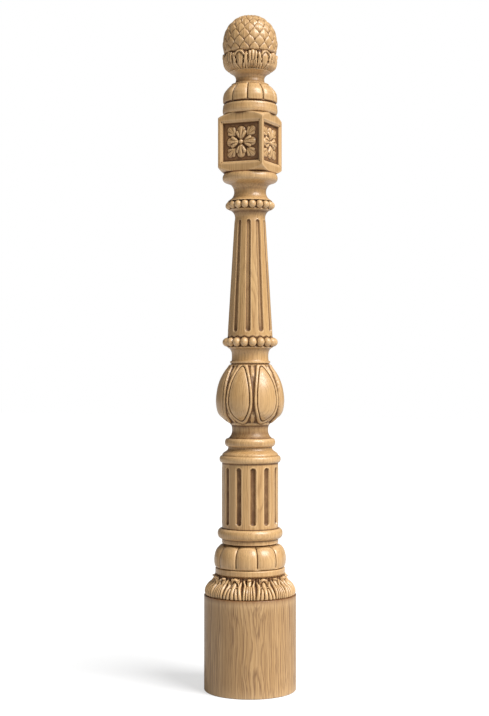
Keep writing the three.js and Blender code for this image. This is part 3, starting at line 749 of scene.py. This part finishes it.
def upper_shaft(material):
    """The seat and neck, the lower beads, the fluted taper, the upper beads, and the neck and ring
    under the block."""
    foot = foot_of("upper_shaft")
    angle = angles_round(SHAFT_COLUMNS)
    seat = Outline(35.8 - JOINT_DEPTH, foot).line(35.8, JOINT_RISE).line(35.8, 3.6)
    seat.line(33.6, 0.4).sideways(32.4, 9.0).upright(39.5, 14.0).line(40.3, 1.5)
    beads_foot = foot + LOW_BEADS_FOOT
    low_beads = bead_stretch(angle, beads_foot, LOW_BEADS_HEIGHT, 40.0, 49.4)
    taper_foot = beads_foot + LOW_BEADS_HEIGHT
    taper_top = taper_foot + TAPER_HEIGHT
    taper = Outline(TAPER_FOOT_RADIUS + 0.8, taper_foot).line(TAPER_FOOT_RADIUS, 1.5)
    taper.line(TAPER_TOP_RADIUS + 0.3, TAPER_HEIGHT - 9.5).through([
        (26.9, taper_top),
        (27.6, taper_top + 4.8),
        (30.0, taper_top + 9.8),
        (33.6, taper_top + 12.9),
        (36.4, taper_top + 14.25),
    ])
    low = taper_foot + TAPER_FLUTE_MARGINS[0]
    high = taper_top - TAPER_FLUTE_MARGINS[1]
    taper_rows = dense_ends(taper.rows(PLAIN_SPACING), (low, high))
    turn = math.pi / TAPER_FLUTES
    taper_cut = flutes(
        angle, taper_rows, TAPER_FLUTES, turn, low, high, TAPER_FLUTE_WIDTHS, TAPER_FLUTE_DEPTH
    )
    high_foot = taper.top[1]
    high_beads = bead_stretch(angle, high_foot, HIGH_BEADS_HEIGHT, 36.6, 44.1)
    neck = Outline(39.6, high_foot + HIGH_BEADS_HEIGHT).through([
        (36.0, foot + 292.5),
        (31.9, foot + 295.9),
        (29.6, foot + 300.1),
        (28.5, foot + 304.5),
        (28.9, foot + 310.2),
        (30.3, foot + 313.7),
        (32.3, foot + 317.3),
        (35.5, foot + 320.1),
        (40.5, foot + 322.1),
        (45.5, foot + 323.9),
        (48.4, foot + 327.1),
        (49.1, foot + 331.5),
        (48.2, foot + 335.1),
        (46.7, foot + 337.9),
    ]).line(45.4, 1.1)
    stretches = [
        plain_rows(seat, SHAFT_COLUMNS, 1.3),
        low_beads,
        relief_rows(taper_rows, taper_cut, broad=0.3),
        high_beads,
        plain_rows(neck, SHAFT_COLUMNS, 1.5),
    ]
    return closed_piece("turned_upper_shaft", stretches, "root", "upper_shaft", material)


def block_levels():
    """Heights of the block's rows over its foot: close at the shoulders and over the panel, and
    wide apart between them."""
    panel_low = PANEL_MARGIN_END - 1.0
    panel_high = BLOCK_HEIGHT - panel_low
    shoulder_high = BLOCK_HEIGHT - BLOCK_SHOULDER
    return np.unique(np.concatenate([
        np.linspace(0.0, BLOCK_SHOULDER, 11),
        np.linspace(BLOCK_SHOULDER, panel_low, 4),
        np.linspace(panel_low, panel_high, 124),
        np.linspace(panel_high, shoulder_high, 4),
        np.linspace(shoulder_high, BLOCK_HEIGHT, 11),
    ]))


def block_face(levels):
    """One face of the block: how far each place lies to the side, how far it stands out from the axis, and
    how much painted shade darkens it, on the panel's sunk floor where no carving stands. A place is pushed in
    for the panel and out for the carving, then drawn in to the bevelled corner and to the turned shoulders,
    whose radius grows from the ring's to the corner's by a sine of the height."""
    half = BLOCK_SIDE / 2.0
    columns = BLOCK_FACE_COLUMNS
    across = half * (np.linspace(-1.0, 1.0, columns, endpoint=False) + 1.0 / columns)
    x, y = np.meshgrid(across, levels - BLOCK_HEIGHT / 2.0)
    panel_x = half - PANEL_MARGIN_SIDE
    panel_y = BLOCK_HEIGHT / 2.0 - PANEL_MARGIN_END
    inside = np.minimum(panel_x - np.abs(x), panel_y - np.abs(y))
    rim = PANEL_RIM_DEPTH * np.clip(inside / PANEL_RIM, 0.0, 1.0)
    on_floor = smoothstep(PANEL_RIM + 0.2, PANEL_RIM + 1.2, inside)
    carving = rosette(x, y) * (inside > PANEL_RIM + 1.2)
    bare = 1.0 - smoothstep(0.3, 1.6, carving)
    # Painted shade on the sunk panel floor between the rosette's leaves
    painted_shade = 0.8 * smoothstep(PANEL_RIM + 1.4, PANEL_RIM + 2.4, inside) * bare
    corner = np.clip(np.abs(x) - (half - CORNER_BEVEL), 0.0, None)
    out = half - rim - (PANEL_DEPTH - PANEL_RIM_DEPTH) * on_floor + carving - 0.55 * corner
    side = x - 0.3 * np.sign(x) * corner
    rise = levels[:, None]
    nearest = np.clip(np.minimum(rise, BLOCK_HEIGHT - rise) / BLOCK_SHOULDER, 0.0, 1.0)
    inner = half + SHOULDER_START
    swing = np.sin(nearest * SHOULDER_SWING) / math.sin(SHOULDER_SWING)
    barrel = inner + (half * math.sqrt(2.0) - inner) * swing
    shrink = np.minimum(1.0, barrel / np.hypot(side, out))
    return shrink * side, shrink * out, painted_shade


def rosette_block(material):
    """The block's grid runs over the four faces in turn, and its last row's angles go on up the
    turned ring."""
    foot = foot_of("rosette_block")
    levels = block_levels()
    side, out, painted_shade = block_face(levels)
    height = np.broadcast_to(foot + levels[:, None], side.shape)
    faces = []
    for face in range(4):
        turn = FRONT + face * math.pi / 2.0
        to_x = out * math.cos(turn) - side * math.sin(turn)
        to_y = out * math.sin(turn) + side * math.cos(turn)
        faces.append(np.stack([to_x, to_y, height], axis=2))
    body = np.concatenate(faces, axis=1)
    ring = Outline(44.0, foot + BLOCK_HEIGHT + 0.2).line(46.0, 0.3).sideways(49.0, 7.2, 8)
    ring.line(48.4, 5.2).upright(46.8, 5.2, 6).line(44.6, 0.9).line(44.8, 0.9)
    ring_rows = ring.rows(1.3, 0.5)
    turn = np.arctan2(body[-1, :, 1], body[-1, :, 0])
    ring_places = np.stack([
        ring_rows[:, :1] * np.cos(turn),
        ring_rows[:, :1] * np.sin(turn),
        np.repeat(ring_rows[:, 1:], len(turn), axis=1),
    ], axis=2)
    places = np.concatenate([body, ring_places])
    # Painted shade on the panels' floors, none on the ring
    painted_floor_shade = np.concatenate([np.tile(painted_shade, (1, 4)), np.zeros(ring_places.shape[:2])])
    carved_part = np.concatenate([np.ones(body.shape[:2]), np.zeros(ring_places.shape[:2])])
    finish = (painted_floor_shade, np.ones_like(painted_floor_shade), carved_part)
    return mesh_from_places(
        "carved_rosette_block", places, finish, "root", "rosette_block", material, 40.0
    )


def length_along(rows):
    """How far each outline point lies from the first one, measured along the outline."""
    steps = np.linalg.norm(np.diff(rows, axis=0), axis=1)
    return np.concatenate([[0.0], np.cumsum(steps)])


def finial(material):
    """The lobed cushion, the neck, the leaf cup and the pine cone."""
    foot = foot_of("finial")
    angle = angles_round(FINIAL_COLUMNS)
    cushion = Outline(UPPER_CUSHION_RADIUS - 2.6, foot).line(UPPER_CUSHION_RADIUS - 0.6, 1.2)
    cushion.sideways(UPPER_CUSHION_RADIUS, 2.5, 5).through([
        (48.4, foot + 10.7),
        (47.7, foot + 14.3),
        (46.8, foot + 17.8),
        (44.9, foot + 21.4),
        (42.0, foot + 25.0),
        (39.0, foot + 28.5),
        (36.6, foot + 30.3),
        (34.2, foot + 32.0),
    ])
    lobed = cushion.rows(1.5, 0.4)
    lobed_cut = lobes(angle, lobed, CUSHION_LOBES, UPPER_CUSHION_VALLEY, low_fade=0.03, high_fade=0.08)
    lobed_rows = relief_rows(lobed, lobed_cut, broad=0.5)
    neck_foot = cushion.top[1]
    calyx_foot = foot + CALYX_FOOT
    neck = Outline(33.0, neck_foot).line(33.4, 2.2).sideways(25.4, 7.5, 10).through([
        (25.2, neck_foot + 12.0),
        (26.8, calyx_foot - 1.0),
        (30.0, calyx_foot + 2.4),
        (34.4, calyx_foot + 5.6),
    ]).line(36.4, 0.6).line(36.2, 0.9)
    leaf_foot = neck.top[1]
    leaf_top = foot + CALYX_TOP
    cup = Outline(34.2, leaf_foot + 0.2).through([
        (35.4, foot + 58.4),
        (38.2, foot + 60.4),
        (41.0, foot + 62.4),
        (43.4, foot + 65.2),
        (44.6, foot + 68.8),
        (45.6, foot + 73.0),
        (46.2, foot + 78.0),
        (46.2, foot + 83.0),
        (45.6, leaf_top),
    ])
    rows = cup.rows(0.7, 0.0)
    up = length_along(rows)
    carving, painted_shade = leaf_relief(
        angle, up, CALYX_PAIRS, CUP_HALF_PERIOD, CUP_LOBES, CUP_SLOTS, CUP_HOOD, CALYX_FLOOR_DEPTH
    )
    fade = smoothstep(-0.5, 1.6, up)[:, None] * smoothstep(-0.5, 0.8, up[-1] - up)[:, None]
    leaves = relief_rows(rows, np.clip(carving, -4.5, None) * fade, painted_shade * fade)
    cone_top = foot + CONE_TOP
    cone = Outline(44.6, leaf_top).through([
        (46.4, foot + 91.0),
        (47.6, foot + 99.0),
        (48.2, foot + 108.5),
        (46.6, foot + 118.5),
        (43.9, foot + 128.4),
        (38.8, foot + 137.3),
        (31.8, foot + 144.7),
        (23.0, foot + 151.6),
        (12.0, foot + 155.4),
        (4.0, cone_top - 0.15),
        (0.6, cone_top),
    ], 1.1)
    cone_rows = cone.rows(1.1, 0.0)
    arc = length_along(cone_rows)
    scale_row = np.interp(foot + SCALE_ROW_HEIGHT, cone_rows[:, 1], arc)
    fade = smoothstep(2.0, 14.0, cone_rows[:, :1])
    # Scales, and painted shade in their pits
    scales, pit_shade = pine_relief(angle, arc, scale_row - 2.0 * CONE_PITCH, CONE_RELIEF)
    cone_places = relief_rows(cone_rows, scales * fade, 0.8 * pit_shade * fade, 0.6, 0.35)
    stretches = [lobed_rows, plain_rows(neck, FINIAL_COLUMNS, 1.3), leaves, cone_places]
    return closed_piece("carved_finial", stretches, "root", "finial", material, sharp=55.0)


# Materials

# How many times a metre each grain pattern repeats along x, y and z
WARP_SCALES = (11.0, 11.0, 4.5)
TONE_SCALES = (24.0, 24.0, 6.0)
STREAK_SCALES = (130.0, 130.0, 2.6)
RAGGED_SCALES = (420.0, 420.0, 24.0)
LINE_SCALES = (430.0, 430.0, 3.4)
FIBRE_SCALES = (900.0, 900.0, 16.0)
PORE_SCALES = (1300.0, 1300.0, 55.0)
MOTTLE_SCALES = (160.0, 160.0, 90.0)

# How far the rings wander sideways, in metres, and how little they change up the post
WARP_REACH = (0.03, 0.03, 0.0)
RING_STRETCH = (1.0, 1.0, 0.03)

COAT_WEIGHT = 0.3
COAT_ROUGHNESS = 0.22
BUMP_STRENGTH = 0.18
BUMP_DEPTH = 0.0004


class Graph:
    """Short calls for adding and joining shader nodes in one tree."""

    def __init__(self, tree):
        self.tree = tree

    def add(self, kind, settings=None, **inputs):
        """Adds a node, sets its properties, and sets or links its inputs by name."""
        node = self.tree.nodes.new(kind)
        for key, value in (settings or {}).items():
            setattr(node, key, value)
        for key, value in inputs.items():
            self.feed(node.inputs[key.replace("_", " ")], value)
        return node

    def feed(self, socket, value):
        """Links a socket, or sets its value."""
        if isinstance(value, bpy.types.NodeSocket):
            self.tree.links.new(value, socket)
        else:
            socket.default_value = value

    def maths(self, operation, first, second=None):
        """A Math node's result."""
        node = self.tree.nodes.new("ShaderNodeMath")
        node.operation = operation
        for socket, value in zip(node.inputs, (first, second)):
            if value is not None:
                self.feed(socket, value)
        return node.outputs[0]

    def vector(self, operation, first, second):
        """A Vector Math node's vector."""
        node = self.tree.nodes.new("ShaderNodeVectorMath")
        node.operation = operation
        self.feed(node.inputs[0], first)
        self.feed(node.inputs[1], second)
        return node.outputs["Vector"]

    def length(self, vector):
        """A vector's length."""
        node = self.tree.nodes.new("ShaderNodeVectorMath")
        node.operation = "LENGTH"
        self.feed(node.inputs[0], vector)
        return node.outputs["Value"]

    def noise(self, place, scales, detail, roughness=0.5, output="Fac"):
        """A noise texture over a place that is stretched by three scales."""
        stretched = self.vector("MULTIPLY", place, scales)
        node = self.add("ShaderNodeTexNoise", Vector=stretched, Scale=1.0, Detail=detail, Roughness=roughness)
        return node.outputs[output]

    def mapped(self, value, low, high, to_low=0.0, to_high=1.0):
        """A value brought from one range to another and clamped."""
        node = self.add("ShaderNodeMapRange", {"clamp": True}, Value=value)
        ends = {"From Min": low, "From Max": high, "To Min": to_low, "To Max": to_high}
        for key, number in ends.items():
            self.feed(node.inputs[key], number)
        return node.outputs["Result"]

    def mix(self, share, first, second):
        """A colour mix."""
        node = self.tree.nodes.new("ShaderNodeMix")
        node.data_type = "RGBA"
        self.feed(node.inputs["Factor"], share)
        self.feed(node.inputs["A"], first)
        self.feed(node.inputs["B"], second)
        return node.outputs["Result"]


def new_group(name, inputs, outputs):
    """A shader node group with named sockets, and its graph, input node and output node."""
    tree = bpy.data.node_groups.new(name, "ShaderNodeTree")
    for label, kind, value in inputs:
        socket = tree.interface.new_socket(label, in_out="INPUT", socket_type=kind)
        if value is not None:
            socket.default_value = value
    for label, kind in outputs:
        tree.interface.new_socket(label, in_out="OUTPUT", socket_type=kind)
    entry = tree.nodes.new("NodeGroupInput")
    leave = tree.nodes.new("NodeGroupOutput")
    return tree, Graph(tree), entry.outputs, leave.inputs


def oak_grain_group():
    """Oak as a solid texture: growth rings round a pith beside the post, fine upright fibres and
    short dark pores."""
    colour, value, vector = "NodeSocketColor", "NodeSocketFloat", "NodeSocketVector"
    tree, graph, given, result = new_group(
        "oak_grain",
        [
            ("Place", vector, None),
            ("Pith", vector, None),
            ("Ring Spacing", value, 0.005),
            ("Figure", value, 0.5),
            ("Light", colour, (0.6, 0.4, 0.2, 1.0)),
            ("Middle", colour, (0.5, 0.3, 0.15, 1.0)),
            ("Dark", colour, (0.3, 0.16, 0.07, 1.0)),
        ],
        [("Color", colour), ("Roughness", value), ("Height", value)],
    )
    place = given["Place"]
    wander = graph.noise(place, WARP_SCALES, 2.5, 0.55, "Color")
    centred = graph.vector("SUBTRACT", wander, (0.5, 0.5, 0.5))
    bent = graph.vector("ADD", place, graph.vector("MULTIPLY", centred, WARP_REACH))
    from_pith = graph.vector("MULTIPLY", graph.vector("SUBTRACT", bent, given["Pith"]), RING_STRETCH)
    ragged = graph.noise(place, RAGGED_SCALES, 2.0)
    number = graph.maths("DIVIDE", graph.length(from_pith), given["Ring Spacing"])
    number = graph.maths("ADD", number, graph.mapped(ragged, 0.2, 0.8, -0.16, 0.16))
    rings = graph.maths("FRACT", number)
    early = graph.mapped(rings, 0.0, 0.42, 1.0, 0.0)
    late = graph.mapped(rings, 0.88, 1.0, 0.0, 1.0)
    band = graph.maths("MAXIMUM", graph.maths("POWER", early, 1.4), late)
    fibre = graph.noise(place, FIBRE_SCALES, 3.0, 0.6)
    streak = graph.noise(bent, STREAK_SCALES, 3.0, 0.6)
    line = graph.noise(bent, LINE_SCALES, 2.0)
    tone = graph.noise(place, TONE_SCALES, 2.0)
    pore_noise = graph.noise(place, PORE_SCALES, 1.0, 0.4)
    in_band = graph.mapped(band, 0.1, 0.8, 0.2, 1.0)
    pores = graph.maths("MULTIPLY", graph.mapped(pore_noise, 0.58, 0.66), in_band)
    dark = given["Dark"]
    base = graph.mix(graph.mapped(streak, 0.35, 0.65), given["Light"], given["Middle"])
    ringed = graph.mix(graph.maths("MULTIPLY", band, given["Figure"]), base, dark)
    toned = graph.mix(graph.mapped(tone, 0.38, 0.66, 0.0, 0.45), ringed, given["Middle"])
    line_share = graph.maths("MULTIPLY", graph.mapped(line, 0.5, 0.68), given["Figure"])
    lined = graph.mix(line_share, toned, dark)
    fibred = graph.mix(graph.mapped(fibre, 0.42, 0.75, 0.0, 0.3), lined, dark)
    graph.feed(result["Color"], graph.mix(graph.maths("MULTIPLY", pores, 0.55), fibred, dark))
    fibre_rough = graph.mapped(fibre, 0.3, 0.7, -0.04, 0.06)
    rough = graph.maths("ADD", fibre_rough, graph.mapped(tone, 0.3, 0.7, 0.36, 0.46))
    graph.feed(result["Roughness"], graph.maths("ADD", rough, graph.maths("MULTIPLY", pores, 0.15)))
    fibre_height = graph.mapped(fibre, 0.3, 0.7, -0.25, 0.25)
    graph.feed(result["Height"], graph.maths("SUBTRACT", fibre_height, pores))
    return tree


def painted_hollow_shade_group():
    """Painted shade in hollows, as a dark brown, and rubbed, paler ridges, from the mesh's own measures of
    how deep each place lies. The mesh's painted shade marks darken the joints, sunk floors and pits further."""
    colour, value = "NodeSocketColor", "NodeSocketFloat"
    tree, graph, given, result = new_group(
        "painted_hollow_shade",
        [
            ("Color", colour, (0.5, 0.3, 0.15, 1.0)),
            ("Place", "NodeSocketVector", None),
            ("Fine", value, 0.0),
            ("Broad", value, 0.0),
            ("Stain", value, 0.0),
            # Colours of the painted shade: on marked places, and in hollows
            ("Stain Colour", colour, (0.168, 0.062, 0.0125, 1.0)),
            ("Hollow Shade", colour, (0.108, 0.041, 0.009, 1.0)),
            ("Rubbed", colour, (0.8, 0.55, 0.3, 1.0)),
            ("Fine Depth", value, 0.25),
            ("Broad Depth", value, 1.6),
            ("Strength", value, 0.85),
        ],
        [("Color", colour), ("Hollow", value)],
    )
    fine = graph.maths("DIVIDE", given["Fine"], given["Fine Depth"])
    broad = graph.maths("DIVIDE", given["Broad"], given["Broad Depth"])
    mottle = graph.noise(given["Place"], MOTTLE_SCALES, 3.0, 0.6)
    uneven = graph.mapped(mottle, 0.3, 0.7, 0.8, 1.15)
    fine_part = graph.maths("MULTIPLY", graph.mapped(fine, 0.1, 1.0), 0.8)
    broad_part = graph.maths("MULTIPLY", graph.mapped(broad, 0.1, 1.1), 0.8)
    hollow = graph.maths("MULTIPLY", graph.maths("ADD", fine_part, broad_part), uneven)
    hollow = graph.maths("MINIMUM", hollow, 1.0)
    mask = graph.maths("MULTIPLY", hollow, given["Strength"])
    ridge = graph.mapped(fine, -0.2, -1.0, 0.0, 0.3)
    rubbed = graph.mix(ridge, given["Color"], given["Rubbed"])
    # Painted shade: first on the marked places, then in the hollows
    shaded = graph.mix(graph.maths("MULTIPLY", given["Stain"], uneven), rubbed, given["Stain Colour"])
    graph.feed(result["Color"], graph.mix(mask, shaded, given["Hollow Shade"]))
    graph.feed(result["Hollow"], hollow)
    return tree


def oak(name, colours, pith, ring_spacing, figure, hollow_shade_strength=0.92, roughness_shift=0.0):
    """An oak finish: solid grain, painted shade in the hollows, and a satin lacquer coat that is cut back in
    them as painted shade of its reflections. The figure is how strongly the rings and lines show."""
    light, middle, dark = colours
    material = bpy.data.materials.new(name)
    material.use_nodes = True
    tree = material.node_tree
    tree.nodes.clear()
    graph = Graph(tree)
    place = graph.add("ShaderNodeTexCoord").outputs["Object"]
    wood = graph.add(
        "ShaderNodeGroup", {"node_tree": grain},
        Place=place, Pith=pith, Ring_Spacing=ring_spacing, Figure=figure,
        Light=light, Middle=middle, Dark=dark,
    )
    # The mesh's hollow measures and its painted shade marks
    fine = graph.add("ShaderNodeAttribute", {"attribute_name": "hollow_fine"}).outputs["Fac"]
    broad = graph.add("ShaderNodeAttribute", {"attribute_name": "hollow_broad"}).outputs["Fac"]
    painted_shade = graph.add("ShaderNodeAttribute", {"attribute_name": "painted_shade"}).outputs["Fac"]
    shaded_wood = graph.add(
        "ShaderNodeGroup", {"node_tree": hollow_shade_tree},
        Color=wood.outputs["Color"], Place=place, Fine=fine, Broad=broad, Stain=painted_shade,
        Strength=hollow_shade_strength,
    )
    hollow = shaded_wood.outputs["Hollow"]
    rough = graph.maths("ADD", wood.outputs["Roughness"], roughness_shift)
    rough = graph.maths("ADD", rough, graph.maths("MULTIPLY", hollow, 0.2))
    # Less coat in hollows, as painted shade of its reflections
    coat = graph.mapped(hollow, 0.0, 1.0, COAT_WEIGHT, 0.0)
    bump = graph.add(
        "ShaderNodeBump", Strength=BUMP_STRENGTH, Distance=BUMP_DEPTH, Height=wood.outputs["Height"]
    )
    shader = graph.add(
        "ShaderNodeBsdfPrincipled",
        Base_Color=shaded_wood.outputs["Color"], Roughness=rough, Normal=bump.outputs["Normal"],
        Coat_Weight=coat, Coat_Roughness=COAT_ROUGHNESS, IOR=1.5,
    )
    out = graph.add("ShaderNodeOutputMaterial")
    tree.links.new(shader.outputs["BSDF"], out.inputs["Surface"])
    return material


def srgb(red, green, blue):
    """A linear colour from screen values of 0 to 255."""
    return tuple((value / 255.0) ** 2.2 for value in (red, green, blue)) + (1.0,)


grain = oak_grain_group()
hollow_shade_tree = painted_hollow_shade_group()
drum_colours = (srgb(193, 155, 107), srgb(165, 127, 80), srgb(102, 67, 34))
shaft_colours = (srgb(205, 166, 113), srgb(189, 148, 97), srgb(128, 89, 47))
carved_colours = (srgb(206, 167, 115), srgb(190, 149, 99), srgb(134, 95, 52))

base_drum(oak(
    "oak_base_drum", drum_colours, pith=(0.036, -0.054, 0.0), ring_spacing=0.0029, figure=0.8,
    hollow_shade_strength=0.85, roughness_shift=0.06,
))
leaf_collar(oak(
    "oak_leaf_collar", carved_colours, pith=(0.05, -0.01, 0.0), ring_spacing=0.0034, figure=0.25
))
lower_shaft(oak(
    "oak_lower_shaft", shaft_colours, pith=(0.06, -0.075, 0.0), ring_spacing=0.0034, figure=0.36
))
upper_shaft(oak(
    "oak_upper_shaft", shaft_colours, pith=(0.02, -0.055, 0.0), ring_spacing=0.0032, figure=0.36
))
rosette_block(oak(
    "oak_rosette_block", carved_colours, pith=(0.03, -0.08, 0.0), ring_spacing=0.0032, figure=0.24
))
finial(oak(
    "oak_finial", carved_colours, pith=(-0.03, -0.06, 0.0), ring_spacing=0.0034, figure=0.22
))


# Floor, light and camera

PHOTO_WIDTH = 489.0
PHOTO_HEIGHT = 716.0
POST_CENTRE_X = 250.1
HORIZON_Y = 366.0
CAMERA_DISTANCE = 2.483
CAMERA_HEIGHT = 0.576
CAMERA_TURN = math.radians(24.0)
LENS = 70.0
SENSOR_WIDTH = 36.0
FLOOR_HALF = 12.0
FLOOR_GLOW = 0.625
FLOOR_SEEN = 0.42
FLOOR_BOUNCE = 0.64
SURROUND_LIGHT = 0.21
BACKDROP_LIGHT = 1.0
KEY_AZIMUTH = 51.0
KEY_ELEVATION = 44.0
KEY_SPREAD = 36.0
KEY_STRENGTH = 4.8


def floor():
    """A wide pale floor. The camera sees it nearly white, with a light shadow, and the post is lit
    by it as by a pale grey floor."""
    material = bpy.data.materials.new("studio_floor")
    material.use_nodes = True
    tree = material.node_tree
    tree.nodes.clear()
    graph = Graph(tree)
    glow = graph.add("ShaderNodeEmission", Color=(1.0, 1.0, 1.0, 1.0), Strength=FLOOR_GLOW)
    pale = graph.add("ShaderNodeBsdfDiffuse", Color=(FLOOR_SEEN, FLOOR_SEEN, FLOOR_SEEN, 1.0))
    grey = graph.add("ShaderNodeBsdfDiffuse", Color=(FLOOR_BOUNCE, FLOOR_BOUNCE, FLOOR_BOUNCE, 1.0))
    seen = graph.add("ShaderNodeAddShader")
    tree.links.new(glow.outputs["Emission"], seen.inputs[0])
    tree.links.new(pale.outputs["BSDF"], seen.inputs[1])
    camera_ray = graph.add("ShaderNodeLightPath").outputs["Is Camera Ray"]
    chosen = graph.add("ShaderNodeMixShader", Fac=camera_ray)
    tree.links.new(grey.outputs["BSDF"], chosen.inputs[1])
    tree.links.new(seen.outputs["Shader"], chosen.inputs[2])
    out = graph.add("ShaderNodeOutputMaterial")
    tree.links.new(chosen.outputs["Shader"], out.inputs["Surface"])
    mesh = bpy.data.meshes.new("studio_floor")
    signs = ((-1.0, -1.0), (1.0, -1.0), (1.0, 1.0), (-1.0, 1.0))
    corners = [(FLOOR_HALF * across, FLOOR_HALF * away, 0.0) for across, away in signs]
    mesh.from_pydata(corners, [], [(0, 1, 2, 3)])
    mesh.materials.append(material)
    plane = bpy.data.objects.new("studio_floor", mesh)
    bpy.context.scene.collection.objects.link(plane)


def around_post(azimuth, distance, height):
    """A place at an azimuth seen from the camera: 0 is the camera's side, 90 its right."""
    turn = CAMERA_TURN + math.radians(azimuth)
    return (distance * math.sin(turn), -distance * math.cos(turn), height)


def key_light():
    """A wide soft light from far away, on the right and above. Its azimuth is counted from the
    camera towards the right."""
    data = bpy.data.lights.new("key_light", "SUN")
    data.energy = KEY_STRENGTH
    data.angle = math.radians(KEY_SPREAD)
    lamp = bpy.data.objects.new("key_light", data)
    lamp.location = around_post(KEY_AZIMUTH, 3.0, 3.0)
    turn = CAMERA_TURN + math.radians(KEY_AZIMUTH)
    lamp.rotation_euler = (math.radians(90.0 - KEY_ELEVATION), 0.0, turn)
    bpy.context.scene.collection.objects.link(lamp)


def world():
    """White surroundings: one strength for the light they give and one for how the camera sees
    them."""
    bpy.context.scene.view_settings.view_transform = "Standard"
    surroundings = bpy.data.worlds.new("studio")
    surroundings.use_nodes = True
    tree = surroundings.node_tree
    tree.nodes.clear()
    graph = Graph(tree)
    seen = graph.add("ShaderNodeLightPath").outputs["Is Camera Ray"]
    level = graph.mapped(seen, 0.0, 1.0, SURROUND_LIGHT, BACKDROP_LIGHT)
    light = graph.add("ShaderNodeBackground", Color=(1.0, 1.0, 1.0, 1.0), Strength=level)
    out = graph.add("ShaderNodeOutputWorld")
    tree.links.new(light.outputs["Background"], out.inputs["Surface"])
    bpy.context.scene.world = surroundings


def camera():
    """The photo's view: level, a little right of the block's front face, shifted to its framing. The
    longer side of the frame is its height, so both shifts are shares of that."""
    data = bpy.data.cameras.new("photo_camera")
    data.lens = LENS
    data.sensor_width = SENSOR_WIDTH
    data.sensor_fit = "AUTO"
    data.shift_x = -(POST_CENTRE_X - PHOTO_WIDTH / 2.0) / PHOTO_HEIGHT
    data.shift_y = (HORIZON_Y - PHOTO_HEIGHT / 2.0) / PHOTO_HEIGHT
    data.clip_start = 0.05
    data.clip_end = 60.0
    view = bpy.data.objects.new("photo_camera", data)
    view.location = around_post(0.0, CAMERA_DISTANCE, CAMERA_HEIGHT)
    view.rotation_euler = (math.radians(90.0), 0.0, CAMERA_TURN)
    bpy.context.scene.collection.objects.link(view)
    bpy.context.scene.camera = view


floor()
world()
key_light()
camera()

bpy.context.view_layer.update()
